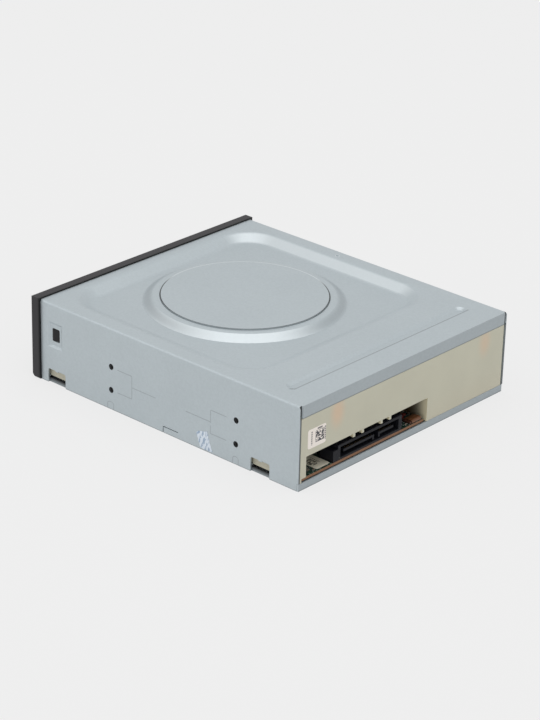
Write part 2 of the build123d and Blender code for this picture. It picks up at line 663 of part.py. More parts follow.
# Bezel: thin plate with a rim, door opening, button and light openings, snap arms with hooks
BEZEL_FRONT_Y = FRONT_Y - BEZEL_DEPTH
PLATE_BACK_Y = BEZEL_FRONT_Y + BEZEL_PLATE
RIM_BACK_Y = FRONT_Y - BEZEL_SEAT_GAP
ARM_OUTER = INNER_HALF - LATCH_DENT_DEPTH - ARM_CLEARANCE
with BuildPart() as front_bezel:
    with BuildSketch(front_plane(BEZEL_FRONT_Y)):
        span_rectangle(-BEZEL_WIDTH / 2, BEZEL_WIDTH / 2, 0, BEZEL_HEIGHT)
    extrude(amount=-(RIM_BACK_Y - BEZEL_FRONT_Y))
    front_edges = front_bezel.faces().sort_by(Axis.Y)[0].edges()
    fillet(front_edges.sort_by(Axis.Z)[0], BEZEL_BOTTOM_R)
    rim_edges = front_bezel.faces().sort_by(Axis.Y)[0].edges().sort_by(Axis.Z)[1:]
    fillet(rim_edges, BEZEL_EDGE_R)
    with BuildSketch(front_plane(PLATE_BACK_Y)):
        span_rectangle(
            BEZEL_WALL - BEZEL_WIDTH / 2, BEZEL_WIDTH / 2 - BEZEL_WALL, BEZEL_WALL, BEZEL_HEIGHT - BEZEL_WALL
        )
    extrude(amount=-BEZEL_DEPTH, mode=Mode.SUBTRACT)
    with BuildSketch(front_plane(BEZEL_FRONT_Y)):
        with Locations((0, DOOR_LOW + DOOR_OPENING[1] / 2)):
            Rectangle(*DOOR_OPENING)
        with Locations(BUTTON_PLACE):
            Rectangle(*BUTTON_SIZE)
        with Locations(LIGHT_PIPE_PLACE):
            Rectangle(*LIGHT_PIPE_SIZE)
        with Locations(PIN_HOLE_PLACE):
            Circle(PIN_HOLE_R)
    extrude(amount=-BEZEL_PLATE, mode=Mode.SUBTRACT)
    for side in (1, -1):
        arm_x = sorted((side * ARM_OUTER, side * (ARM_OUTER - ARM_THICKNESS)))
        arm_half = LATCH_HOLE[1] / 2 + ARM_MARGIN
        arm_z = (LATCH_HEIGHT - arm_half, LATCH_HEIGHT + arm_half)
        block(arm_x, (PLATE_BACK_Y, back(LATCH_PLACE + LATCH_HOLE[0] / 2)), arm_z)
        arm_face = side * ARM_OUTER
        hook_x = side * (HALF_WIDTH - LATCH_DENT_DEPTH + HOOK_REACH)
        hook_front = back(LATCH_PLACE - LATCH_HOLE[0] / 2 + GAP)
        hook_back = back(LATCH_PLACE + LATCH_HOLE[0] / 2 - GAP)
        with BuildSketch(Plane.XY.offset(LATCH_HEIGHT - LATCH_HOLE[1] / 2 + GAP)):
            hook_point = (hook_x, hook_front + HOOK_FLAT)
            outline_face([(arm_face, hook_front), (hook_x, hook_front), hook_point, (arm_face, hook_back)])
        extrude(amount=LATCH_HOLE[1] - 2 * GAP)
front_bezel.part.label = "front_bezel"
export_step(front_bezel.part, "parts/front_bezel.step")

# Tray door: shallow cap with a rim and two lugs that meet the tray's front wall
DOOR_HALF = DOOR_OPENING[0] / 2 - DOOR_CLEARANCE
DOOR_RANGE = (DOOR_LOW + DOOR_CLEARANCE, DOOR_LOW + DOOR_OPENING[1] - DOOR_CLEARANCE)
TRAY_FRONT_Y = back(TRAY_FRONT)
with BuildPart() as tray_door:
    with BuildSketch(front_plane(BEZEL_FRONT_Y)):
        span_rectangle(-DOOR_HALF, DOOR_HALF, *DOOR_RANGE)
    extrude(amount=-(DOOR_PLATE + DOOR_RIM[1]))
    fillet(tray_door.faces().sort_by(Axis.Y)[0].edges(), SMALL_EDGE_R)
    with BuildSketch(front_plane(BEZEL_FRONT_Y + DOOR_PLATE)):
        rim = DOOR_RIM[0]
        span_rectangle(rim - DOOR_HALF, DOOR_HALF - rim, DOOR_RANGE[0] + rim, DOOR_RANGE[1] - rim)
    extrude(amount=-DOOR_RIM[1], mode=Mode.SUBTRACT)
    for x in DOOR_LUGS:
        lug_x = (x - DOOR_LUG_WIDTH / 2, x + DOOR_LUG_WIDTH / 2)
        lug_z = (TRAY_BOTTOM - TRAY_WALL_BELOW, TRAY_TOP - GAP)
        block(lug_x, (BEZEL_FRONT_Y + DOOR_PLATE, TRAY_FRONT_Y), lug_z)
tray_door.part.label = "tray_door"
export_step(tray_door.part, "parts/tray_door.step")

# Eject button with a stop flange behind the bezel and a stem towards its switch
BUTTON_HALF = (BUTTON_SIZE[0] / 2 - BUTTON_CLEARANCE, BUTTON_SIZE[1] / 2 - BUTTON_CLEARANCE)
SWITCH_TIP_Y = back(FRONT_BOARD_PLACE - SWITCH_REACH)
STEM_END_Y = SWITCH_TIP_Y - BUTTON_TRAVEL - FIT
with BuildPart() as eject_button:
    with BuildSketch(front_plane(BEZEL_FRONT_Y + FIT)):
        with Locations(BUTTON_PLACE):
            Rectangle(2 * BUTTON_HALF[0], 2 * BUTTON_HALF[1])
    extrude(amount=-(BEZEL_PLATE + GAP - FIT))
    fillet(eject_button.faces().sort_by(Axis.Y)[0].edges(), SMALL_EDGE_R)
    with BuildSketch(front_plane(PLATE_BACK_Y + GAP)):
        with Locations(BUTTON_PLACE):
            Rectangle(BUTTON_SIZE[0] + 2 * BUTTON_FLANGE, BUTTON_SIZE[1] + 2 * BUTTON_FLANGE)
    extrude(amount=-BUTTON_FLANGE)
    with BuildSketch(front_plane(PLATE_BACK_Y + GAP + BUTTON_FLANGE)):
        with Locations(BUTTON_PLACE):
            Circle(BUTTON_STEM_R)
    extrude(amount=-(STEM_END_Y - PLATE_BACK_Y - GAP - BUTTON_FLANGE))
eject_button.part.label = "eject_button"
export_step(eject_button.part, "parts/eject_button.step")

# Light pipe from the bezel to the status light
STATUS_LIGHT_Y = back(FRONT_BOARD_PLACE - STATUS_LIGHT_REACH)
with BuildPart() as light_pipe:
    with BuildSketch(front_plane(BEZEL_FRONT_Y + FIT)):
        with Locations(LIGHT_PIPE_PLACE):
            Rectangle(*LIGHT_PIPE_SIZE)
    extrude(amount=-(STATUS_LIGHT_Y - BEZEL_FRONT_Y - FIT))
light_pipe.part.label = "light_pipe"
export_step(light_pipe.part, "parts/light_pipe.step")

# Loader frame: side walls, rear wall with the connector window, gear deck, tray guides, deck pivots
FRAME_FRONT_Y = back(FRAME_FRONT)
REAR_INNER_Y = REAR_Y - FRAME_WALL
BRACKET_Y = (SPINDLE_Y - BRACKET_WIDTH / 2, SPINDLE_Y + BRACKET_WIDTH / 2)
BRACKET_SCREWS = [(side * BRACKET_SCREW_PLACE, SPINDLE_Y) for side in (1, -1)]
LEDGE_TOP = TRAY_BOTTOM - GAP
LEDGE_INNER = TRAY_WIDTH / 2 - TRAY_LEDGE
FRONT_BOARD_LOW = FRAME_BOTTOM + 2 * GAP + FIT
with BuildPart() as loader_frame:
    # Side walls, front wall and the wall that closes the rear
    block((-FRAME_SIDE, FRAME_SIDE), (FRAME_FRONT_Y, REAR_Y), (FRAME_BOTTOM, FRAME_SIDE_TOP))
    block(
        (-FRAME_INNER, FRAME_INNER),
        (FRAME_FRONT_Y + FRAME_WALL, REAR_INNER_Y),
        (FRAME_BOTTOM, FRAME_SIDE_TOP),
        Mode.SUBTRACT,
    )
    block(
        (-FRAME_INNER, FRAME_INNER),
        (FRAME_FRONT_Y, REAR_INNER_Y),
        (FRAME_FRONT_TOP, FRAME_SIDE_TOP),
        Mode.SUBTRACT,
    )
    block((REAR_WALL_LEFT, REAR_WALL_RIGHT), (REAR_INNER_Y, REAR_Y), (FRAME_BOTTOM, FRAME_REAR_TOP))
    # Window over the board with its small hanging teeth
    block((WINDOW_LEFT, WINDOW_RIGHT), (REAR_INNER_Y, REAR_Y), (FRAME_BOTTOM, WINDOW_TOP), Mode.SUBTRACT)
    for x in WINDOW_TEETH:
        tooth_x = (x - WINDOW_TOOTH[0] / 2, x + WINDOW_TOOTH[0] / 2)
        block(tooth_x, (REAR_INNER_Y, REAR_Y), (WINDOW_TOP - WINDOW_TOOTH[1], WINDOW_TOP))
    block(
        (WINDOW_LEFT - FRAME_WALL, WINDOW_LEFT),
        (REAR_INNER_Y - INNER_WALL_DEPTH, REAR_INNER_Y),
        (FRAME_BOTTOM, WINDOW_TOP),
    )
    # Room for the board beside and behind the walls
    block(
        (BOARD_LEFT - FIT, BOARD_RIGHT + GAP),
        (back(BOARD_FRONT) - GAP, REAR_Y),
        (FRAME_BOTTOM, BOARD_TOP + FIT),
        Mode.SUBTRACT,
    )
    # Gear deck on ribs, with the crossbar that guides the lift cam
    block((-FRAME_INNER, DECK_RIGHT), (FRAME_FRONT_Y, back(DECK_REAR)), (DECK_BOTTOM, DECK_TOP))
    crossbar_y = (back(CROSSBAR[0]), back(CROSSBAR[1]))
    block((-FRAME_INNER, FRAME_INNER), crossbar_y, (FRAME_BOTTOM, FRAME_FRONT_TOP))
    block((-FRAME_INNER, DECK_RIGHT), (back(DECK_REAR), back(CROSSBAR[0])), (DECK_BOTTOM, DECK_TOP))
    cam_floor = (CAM_BOTTOM - GAP - FRAME_WALL, CAM_BOTTOM - GAP)
    block((-FRAME_INNER, FRAME_INNER), (back(CROSSBAR[0]), back(CAM_PLACE[1])), cam_floor)
    for x in DECK_RIBS:
        block((x, x + FRAME_WALL), (FRAME_FRONT_Y, back(DECK_REAR)), (FRAME_BOTTOM, DECK_BOTTOM))
    # Openings of the front wall for the button stem, light pipe and release pin
    with BuildSketch(front_plane(FRAME_FRONT_Y)):
        with Locations(BUTTON_PLACE):
            Circle(BUTTON_STEM_R + GAP)
        with Locations(LIGHT_PIPE_PLACE):
            Rectangle(LIGHT_PIPE_SIZE[0] + FIT, LIGHT_PIPE_SIZE[1] + FIT)
        with Locations(PIN_HOLE_PLACE):
            Circle(PIN_HOLE_R + GAP)
    extrude(amount=-FRAME_WALL, mode=Mode.SUBTRACT)
    # Gear posts and the motor seat
    round_post(DRIVE_XY, POST_R, (DECK_TOP, PINION_TOP - GAP))
    round_post(PULLEY_XY, POST_R, (DECK_TOP, SMALL_GEAR_BOTTOM + SMALL_GEAR_HEIGHT - GAP))
    round_post(DRIVE_XY, 2 * POST_R, (DECK_TOP, DRIVE_GEAR_BOTTOM - GAP))
    round_post(MOTOR_XY, MOTOR_SHAFT_OPENING_R, (DECK_BOTTOM, DECK_TOP), Mode.SUBTRACT)
    # Slotted posts that hold the front board
    for side in (1, -1):
        x = FRONT_BOARD_X + side * FRONT_BOARD_SIZE[0] / 2
        post = (x - BOARD_POST[0] / 2, x + BOARD_POST[0] / 2)
        block(post, (FRAME_FRONT_Y, back(FRONT_BOARD_PLACE) + BOARD_POST[1]), (FRAME_BOTTOM, DECK_TOP))
    block(
        (FRONT_BOARD_X - FRONT_BOARD_SIZE[0] / 2 - FIT, FRONT_BOARD_X + FRONT_BOARD_SIZE[0] / 2 + FIT),
        (back(FRONT_BOARD_PLACE), back(FRONT_BOARD_PLACE) + FRONT_BOARD_THICKNESS),
        (FRONT_BOARD_LOW - FIT, DECK_TOP),
        Mode.SUBTRACT,
    )
    for side in (1, -1):
        inner = side * FRAME_INNER
        # Ledge under the tray's edge with webs below, and short hooks above it
        ledge = sorted((side * LEDGE_INNER, inner))
        ledge_y = (TRAY_FRONT_Y + TRAY_FRONT_WALL + GAP, REAR_INNER_Y)
        block(ledge, ledge_y, (LEDGE_TOP - LEDGE_THICKNESS, LEDGE_TOP))
        for place in LEDGE_WEBS:
            block(ledge, (back(place), back(place) + LEDGE_WEB[0]), (LEDGE_TOP - LEDGE_WEB[1], LEDGE_TOP))
        hook = sorted((side * (TRAY_WIDTH / 2 - TRAY_HOOK[0]), inner))
        for place in TRAY_HOOKS:
            block(hook, (back(place), back(place) + TRAY_HOOK[1]), (TRAY_TOP + GAP, TRAY_TOP + TRAY_HOOK[2]))
        guide = sorted((side * (TRAY_WIDTH / 2 + GAP), inner))
        for place in TRAY_GUIDES:
            block(guide, (back(place), back(place) + TRAY_GUIDE_LENGTH), (LEDGE_TOP, TRAY_TOP + GAP))
        # Tower that carries the clamp bracket
        tower = sorted((side * TOWER_INNER, side * FRAME_SIDE))
        block(tower, BRACKET_Y, (TRAY_TOP + GAP, BRACKET_BOTTOM))
        # Bearing of the tilting deck, on a web from the side wall
        bearing = sorted((side * (LIFT_SIDE + GAP), inner))
        with BuildSketch(Plane(origin=(bearing[0], 0, 0), x_dir=(0, 1, 0), z_dir=(1, 0, 0))):
            with Locations((LIFT_PIVOT_Y, LIFT_PIVOT[1])):
                SlotOverall(BEARING_LENGTH, 2 * (LIFT_PIVOT_R + BEARING_WALL))
        extrude(amount=bearing[1] - bearing[0])
        with BuildSketch(Plane(origin=(bearing[0], 0, 0), x_dir=(0, 1, 0), z_dir=(1, 0, 0))):
            with Locations((LIFT_PIVOT_Y, LIFT_PIVOT[1])):
                Circle(LIFT_PIVOT_R + RUNNING)
        extrude(amount=bearing[1] - bearing[0], mode=Mode.SUBTRACT)
        # Room for the bezel's arm
        arm_room = sorted((side * (FRAME_INNER - ARM_POCKET), side * FRAME_SIDE))
        block(
            arm_room,
            (FRAME_FRONT_Y, back(LATCH_PLACE + LATCH_DENT[0] / 2)),
            (LATCH_HEIGHT - LATCH_DENT[1] / 2, LATCH_HEIGHT + LATCH_DENT[1] / 2),
            Mode.SUBTRACT,
        )
    # Bosses over the cover screws
    for spot in SCREW_SPOTS:
        round_post(spot, BOSS_R, (DISH_DEPTH + SHEET, LEDGE_TOP - LEDGE_THICKNESS))
        round_post(spot, SCREW_R, (DISH_DEPTH + SHEET, DISH_DEPTH + SCREW_LENGTH), Mode.SUBTRACT)
    for spot in BRACKET_SCREWS:
        screw_z = (BRACKET_BOTTOM - BRACKET_SCREW_DEPTH, BRACKET_BOTTOM)
        round_post(spot, BRACKET_SCREW_R, screw_z, Mode.SUBTRACT)
loader_frame.part.label = "loader_frame"
export_step(loader_frame.part, "parts/loader_frame.step")

# Disc tray: plate with two disc seats, rear slot for the spindle and pickup, finger scallops, rack
TRAY_MIDDLE_Y = (back(TRAY_FRONT) + back(TRAY_REAR)) / 2
TRAY_LENGTH = TRAY_REAR - TRAY_FRONT
RACK_LINE_X = DRIVE_XY[0] - PINION_R
RACK_PITCH = pi * MODULE_RACK
with BuildPart() as disc_tray:
    with BuildSketch(Plane.XY.offset(TRAY_BOTTOM)):
        with Locations((0, TRAY_MIDDLE_Y)):
            Rectangle(TRAY_WIDTH, TRAY_LENGTH)
    extrude(amount=TRAY_TOP - TRAY_BOTTOM)
    fillet(disc_tray.edges().filter_by(Axis.Z).sort_by(Axis.Y)[-2:], TRAY_CORNER_R)
    round_post((0, SPINDLE_Y), DISC_R + DISC_CLEARANCE, (TRAY_SEAT, TRAY_TOP), Mode.SUBTRACT)
    round_post((0, SPINDLE_Y), SMALL_DISC_R + DISC_CLEARANCE, (TRAY_SMALL_SEAT, TRAY_TOP), Mode.SUBTRACT)
    # Slot from the middle to the rear edge
    round_post((0, SPINDLE_Y), TRAY_SLOT_WIDTH / 2, (TRAY_BOTTOM, TRAY_TOP), Mode.SUBTRACT)
    block(
        (-TRAY_SLOT_WIDTH / 2, TRAY_SLOT_WIDTH / 2),
        (SPINDLE_Y, back(TRAY_REAR)),
        (TRAY_BOTTOM, TRAY_TOP),
        Mode.SUBTRACT,
    )
    # Finger scallops at both sides of the disc, near the front
    for side in (1, -1):
        with BuildSketch(Plane.XY.offset(TRAY_BOTTOM + SCALLOP_FLOOR)):
            with Locations((side * SCALLOP_PLACE, SPINDLE_Y - SCALLOP_PLACE)):
                Circle(SCALLOP_R)
        extrude(amount=TRAY_TOP, mode=Mode.SUBTRACT)
    # Hollow underside between ribs
    with BuildSketch(Plane.XY.offset(TRAY_BOTTOM)):
        for side in (1, -1):
            hollow = sorted((side * TRAY_HOLLOW_X[0], side * TRAY_HOLLOW_X[1]))
            for start, end in TRAY_HOLLOWS:
                span_rectangle(*hollow, back(start), back(end))
    extrude(amount=TRAY_HOLLOW_DEPTH, mode=Mode.SUBTRACT)
    # Front wall that carries the door
    block(
        (-TRAY_WIDTH / 2, TRAY_WIDTH / 2),
        (TRAY_FRONT_Y, TRAY_FRONT_Y + TRAY_FRONT_WALL),
        (TRAY_BOTTOM - TRAY_WALL_BELOW, TRAY_TOP + TRAY_WALL_ABOVE),
    )
    # Rack along one side of the underside, one gap on the pinion's line
    tooth_count = int((TRAY_LENGTH - 6.0) / RACK_PITCH)
    first_gap = -int((DRIVE_XY[1] - TRAY_FRONT_Y - 5.0) / RACK_PITCH)
    half_tip = RACK_PITCH / 4 - ADDENDUM * MODULE_RACK * tan(PRESSURE) - TOOTH_PLAY / 2
    half_root = RACK_PITCH / 4 + DEDENDUM * MODULE_RACK * tan(PRESSURE) - TOOTH_PLAY / 2
    tip_x = RACK_LINE_X + ADDENDUM * MODULE_RACK
    root_x = RACK_LINE_X - DEDENDUM * MODULE_RACK
    rack_points = []
    for number in range(tooth_count):
        tooth_y = DRIVE_XY[1] + (first_gap + number + 0.5) * RACK_PITCH
        rack_points.append((root_x, tooth_y - half_root))
        rack_points.append((tip_x, tooth_y - half_tip))
        rack_points.append((tip_x, tooth_y + half_tip))
        rack_points.append((root_x, tooth_y + half_root))
    rack_points.append((root_x, rack_points[-1][1] + 1.0))
    rack_points.append((root_x - RACK_BACK, rack_points[-1][1]))
    rack_points.append((root_x - RACK_BACK, rack_points[0][1] - 1.0))
    rack_points.append((root_x, rack_points[0][1] - 1.0))
    with BuildSketch(Plane.XY.offset(RACK_BOTTOM)):
        outline_face(rack_points)
    extrude(amount=TRAY_BOTTOM - RACK_BOTTOM)
disc_tray.part.label = "disc_tray"
export_step(disc_tray.part, "parts/disc_tray.step")

# Drive gear: large wheel below, rack pinion above, running on its post
with BuildPart() as drive_gear:
    with BuildSketch(Plane(origin=(*DRIVE_XY, DRIVE_GEAR_BOTTOM))):
        outline_face(gear_points(DRIVE_TEETH, MODULE_GEAR))
    extrude(amount=DRIVE_GEAR_HEIGHT)
    with BuildSketch(Plane(origin=(*DRIVE_XY, DRIVE_GEAR_BOTTOM + DRIVE_GEAR_HEIGHT))):
        outline_face(gear_points(PINION_TEETH, MODULE_RACK))
    extrude(amount=PINION_TOP - DRIVE_GEAR_BOTTOM - DRIVE_GEAR_HEIGHT)
    round_post(DRIVE_XY, POST_R + RUNNING, (DRIVE_GEAR_BOTTOM, PINION_TOP), Mode.SUBTRACT)
drive_gear.part.label = "drive_gear"
export_step(drive_gear.part, "parts/drive_gear.step")

# Pulley gear: belt pulley with a groove below, small gear above, half a pitch round for the mesh
with BuildPart() as pulley_gear:
    round_post(PULLEY_XY, PULLEY_R + PULLEY_RIM, (PULLEY_BOTTOM, PULLEY_BOTTOM + PULLEY_HEIGHT - GAP))
    with BuildSketch(Plane.XY.offset(PULLEY_BOTTOM + PULLEY_HEIGHT / 2 - BELT_THICKNESS)):
        with Locations(PULLEY_XY):
            Circle(PULLEY_R + 2 * PULLEY_RIM)
            Circle(PULLEY_R, mode=Mode.SUBTRACT)
    extrude(amount=2 * BELT_THICKNESS - GAP, mode=Mode.SUBTRACT)
    with BuildSketch(Plane(origin=(*PULLEY_XY, PULLEY_BOTTOM + PULLEY_HEIGHT - GAP))):
        outline_face(gear_points(SMALL_TEETH, MODULE_GEAR, 0.5))
    extrude(amount=SMALL_GEAR_HEIGHT + GAP)
    bore_z = (PULLEY_BOTTOM, SMALL_GEAR_BOTTOM + SMALL_GEAR_HEIGHT)
    round_post(PULLEY_XY, POST_R + RUNNING, bore_z, Mode.SUBTRACT)
pulley_gear.part.label = "pulley_gear"
export_step(pulley_gear.part, "parts/pulley_gear.step")

# Loading motor: can under the deck, shaft up through it; pulley on the shaft
with BuildPart() as loading_motor:
    round_post(MOTOR_XY, MOTOR_R, (MOTOR_BOTTOM, DECK_BOTTOM))
    round_post(MOTOR_XY, MOTOR_BOSS_R, (DECK_BOTTOM, DECK_TOP - GAP))
    round_post(MOTOR_XY, MOTOR_SHAFT_R, (DECK_TOP - GAP, PULLEY_BOTTOM + PULLEY_HEIGHT))
loading_motor.part.label = "loading_motor"
export_step(loading_motor.part, "parts/loading_motor.step")

with BuildPart() as motor_pulley:
    round_post(MOTOR_XY, MOTOR_PULLEY_R + PULLEY_RIM, (PULLEY_BOTTOM, PULLEY_BOTTOM + PULLEY_HEIGHT - GAP))
    with BuildSketch(Plane.XY.offset(PULLEY_BOTTOM + PULLEY_HEIGHT / 2 - BELT_THICKNESS)):
        with Locations(MOTOR_XY):
            Circle(MOTOR_PULLEY_R + 2 * PULLEY_RIM)
            Circle(MOTOR_PULLEY_R, mode=Mode.SUBTRACT)
    extrude(amount=2 * BELT_THICKNESS - GAP, mode=Mode.SUBTRACT)
    bore_z = (PULLEY_BOTTOM, PULLEY_BOTTOM + PULLEY_HEIGHT)
    round_post(MOTOR_XY, MOTOR_SHAFT_R + RUNNING, bore_z, Mode.SUBTRACT)
motor_pulley.part.label = "motor_pulley"
export_step(motor_pulley.part, "parts/motor_pulley.step")

# Belt: loop round both grooves
BELT_Z = PULLEY_BOTTOM + PULLEY_HEIGHT / 2 - GAP / 2 - BELT_THICKNESS / 2


def belt_hull(extra):
    """Filled loop shape round both pulleys, a distance outside their grooves, inside a sketch block."""
    run = MOTOR_XY[0] - PULLEY_XY[0]
    lean = acos((PULLEY_R - MOTOR_PULLEY_R) / run)
    large = PULLEY_R + extra
    small = MOTOR_PULLEY_R + extra
    upper = [
        (PULLEY_XY[0] + large * cos(lean), PULLEY_XY[1] + large * sin(lean)),
        (MOTOR_XY[0] + small * cos(lean), MOTOR_XY[1] + small * sin(lean)),
    ]
    lower = [(x, 2 * PULLEY_XY[1] - y) for x, y in reversed(upper)]
    with BuildLine() as loop:
        Line(*upper)
        ThreePointArc(upper[1], (MOTOR_XY[0] + small, MOTOR_XY[1]), lower[0])
        Line(*lower)
        ThreePointArc(lower[1], (PULLEY_XY[0] - large, PULLEY_XY[1]), upper[0])
    make_face(loop.edges())


with BuildPart() as drive_belt:
    with BuildSketch(Plane.XY.offset(BELT_Z)):
        belt_hull(BELT_PLAY + BELT_THICKNESS)
    extrude(amount=BELT_THICKNESS)
    with BuildSketch(Plane.XY.offset(BELT_Z)):
        belt_hull(BELT_PLAY)
    extrude(amount=BELT_THICKNESS, mode=Mode.SUBTRACT)
drive_belt.part.label = "drive_belt"
export_step(drive_belt.part, "parts/drive_belt.step")

# Lift cam: bar with two sloping slots and a peg, sliding sideways behind the crossbar
with BuildPart() as lift_cam:
    with BuildSketch(front_plane(back(CAM_PLACE[0]))):
        span_rectangle(CAM_PINS[0] - CAM_TRAVEL - CAM_MARGIN, CAM_PINS[1] + CAM_MARGIN, CAM_BOTTOM, CAM_TOP)
        for pin in CAM_PINS:
            overrun_drop = CAM_OVERRUN * CAM_DROP / CAM_TRAVEL
            start = (pin + CAM_OVERRUN, CAM_PIN_HEIGHT + overrun_drop)
            end = (pin - CAM_TRAVEL - CAM_OVERRUN, CAM_PIN_HEIGHT - CAM_DROP - overrun_drop)
            run = (start[0] - end[0], start[1] - end[1])
            slope = degrees(atan2(run[1], run[0]))
            width = 2 * (CAM_PIN_R + CAM_PLAY)
            with Locations(((start[0] + end[0]) / 2, (start[1] + end[1]) / 2)):
                SlotCenterToCenter(hypot(*run), width, rotation=slope, mode=Mode.SUBTRACT)
    extrude(amount=-(CAM_PLACE[1] - CAM_PLACE[0]))
    round_post((CAM_PINS[0], back(sum(CAM_PLACE) / 2)), CAM_PEG_R, (CAM_TOP, TRAY_BOTTOM - 2 * GAP))
lift_cam.part.label = "lift_cam"
export_step(lift_cam.part, "parts/lift_cam.step")

# Lift frame: tilting tray-shaped frame with corner seats, front cam pins and rear pivot pins
LIFT_INNER = LIFT_SIDE - LIFT_WALL
DAMPER_SPOTS = [(x, back(y)) for x in (-DAMPER_X, DAMPER_X) for y in DAMPER_Y]
DAMPER_BOTTOM = LIFT_BOTTOM + LIFT_FLOOR
with BuildPart() as lift_frame:
    block((-LIFT_SIDE, LIFT_SIDE), (back(LIFT_FRONT), back(LIFT_REAR)), (LIFT_BOTTOM, LIFT_TOP))
    block(
        (-LIFT_INNER, LIFT_INNER),
        (back(LIFT_FRONT + LIFT_WALL), back(LIFT_REAR - LIFT_WALL)),
        (LIFT_BOTTOM, LIFT_TOP),
        Mode.SUBTRACT,
    )
    for x, y in DAMPER_SPOTS:
        outward = 1 if x > 0 else -1
        inward = 1 if y < SPINDLE_Y else -1
        wall_y = back(LIFT_FRONT + 1) if y < SPINDLE_Y else back(LIFT_REAR - 1)
        seat_x = sorted((x - outward * DAMPER_SEAT[0], outward * (LIFT_SIDE - 1)))
        seat_y = sorted((y + inward * DAMPER_SEAT[1], wall_y))
        block(seat_x, seat_y, (LIFT_BOTTOM, DAMPER_BOTTOM))
        round_post((x, y), SCREW_R, (LIFT_BOTTOM, DAMPER_BOTTOM), Mode.SUBTRACT)
    for pin in CAM_PINS:
        with BuildSketch(front_plane(back(CAM_PLACE[0] + GAP))):
            with Locations((pin, CAM_PIN_HEIGHT)):
                Circle(CAM_PIN_R)
        extrude(amount=-(LIFT_FRONT - CAM_PLACE[0] + 1))
    for side in (1, -1):
        with BuildSketch(side_plane(side, HALF_WIDTH - LIFT_SIDE + 1)):
            with Locations((side * LIFT_PIVOT_Y, LIFT_PIVOT[1])):
                Circle(LIFT_PIVOT_R)
        extrude(amount=LIFT_PIVOT_LENGTH)
lift_frame.part.label = "lift_frame"
export_step(lift_frame.part, "parts/lift_frame.step")

# Deck plate: steel sheet on rubber dampers, window for the pickup, relief for the sled motor
PLATE_TOP = PLATE_BOTTOM + PLATE_THICKNESS
with BuildPart() as deck_plate:
    block((-PLATE_SIDE, PLATE_SIDE), (back(PLATE_FRONT), back(PLATE_REAR)), (PLATE_BOTTOM, PLATE_TOP))
    block(
        (-PLATE_WINDOW[0] / 2, PLATE_WINDOW[0] / 2),
        (back(PLATE_WINDOW[1]), back(PLATE_WINDOW[2])),
        (PLATE_BOTTOM, PLATE_TOP),
        Mode.SUBTRACT,
    )
    block(
        (PLATE_WINDOW[0] / 2, SCREW_X + SLED_MOTOR_R + GAP),
        (back(SLED_MOTOR_RANGE[0]) - GAP, back(SLED_MOTOR_RANGE[1]) + GAP),
        (PLATE_BOTTOM, PLATE_TOP),
        Mode.SUBTRACT,
    )
    for spot in DAMPER_SPOTS:
        round_post(spot, DAMPER_R - DAMPER_NECK, (PLATE_BOTTOM, PLATE_TOP), Mode.SUBTRACT)
    round_post((0, SPINDLE_Y), SPINDLE_POST_R, (PLATE_BOTTOM, PLATE_TOP), Mode.SUBTRACT)
    # Tabs folded down that carry the far end of the lead screw and the motor's face
    for y in (back(LEAD_END), back(SLED_MOTOR_RANGE[1])):
        tab_x = (SCREW_X - PLATE_TAB[0] / 2, SCREW_X + PLATE_TAB[0] / 2)
        block(tab_x, (y, y + PLATE_TAB[1]), (ROD_Z - PLATE_TAB[2], PLATE_TOP))
        with BuildSketch(front_plane(y)):
            with Locations((SCREW_X, ROD_Z)):
                Circle(LEAD_R + RUNNING)
        extrude(amount=-PLATE_TAB[1], mode=Mode.SUBTRACT)
deck_plate.part.label = "deck_plate"
export_step(deck_plate.part, "parts/deck_plate.step")

DAMPER_TOP = PLATE_TOP + DAMPER_LIP
with BuildPart() as rubber_dampers:
    for spot in DAMPER_SPOTS:
        round_post(spot, DAMPER_R, (DAMPER_BOTTOM, PLATE_BOTTOM))
        round_post(spot, DAMPER_R - DAMPER_NECK, (PLATE_BOTTOM, PLATE_TOP))
        round_post(spot, DAMPER_R, (PLATE_TOP, DAMPER_TOP))
        round_post(spot, SCREW_R, (DAMPER_BOTTOM, DAMPER_TOP), Mode.SUBTRACT)
rubber_dampers.part.label = "rubber_dampers"
export_step(rubber_dampers.part, "parts/rubber_dampers.step")

with BuildPart() as damper_screws:
    for spot in DAMPER_SPOTS:
        pan_screw(spot, DAMPER_TOP, DAMPER_TOP - LIFT_BOTTOM, upward=False)
damper_screws.part.label = "damper_screws"
export_step(damper_screws.part, "parts/damper_screws.step")

# Spindle motor base on the plate, and the turning rotor with its turntable and hub
BASE_TOP = PLATE_TOP + BASE_THICKNESS
POST_TOP = BASE_TOP + SPINDLE_POST_HEIGHT
SPINDLE_FOOT = PLATE_BOTTOM - SPINDLE_POST_BELOW
with BuildPart() as spindle_base:
    round_post((0, SPINDLE_Y), ROTOR_R - 2 * ROTOR_WALL, (PLATE_TOP, BASE_TOP))
    round_post((0, SPINDLE_Y), SPINDLE_POST_R, (SPINDLE_FOOT, POST_TOP))
    round_post((0, SPINDLE_Y), SPINDLE_R + RUNNING, (SPINDLE_FOOT + 1, POST_TOP), Mode.SUBTRACT)
spindle_base.part.label = "spindle_base"
export_step(spindle_base.part, "parts/spindle_base.step")

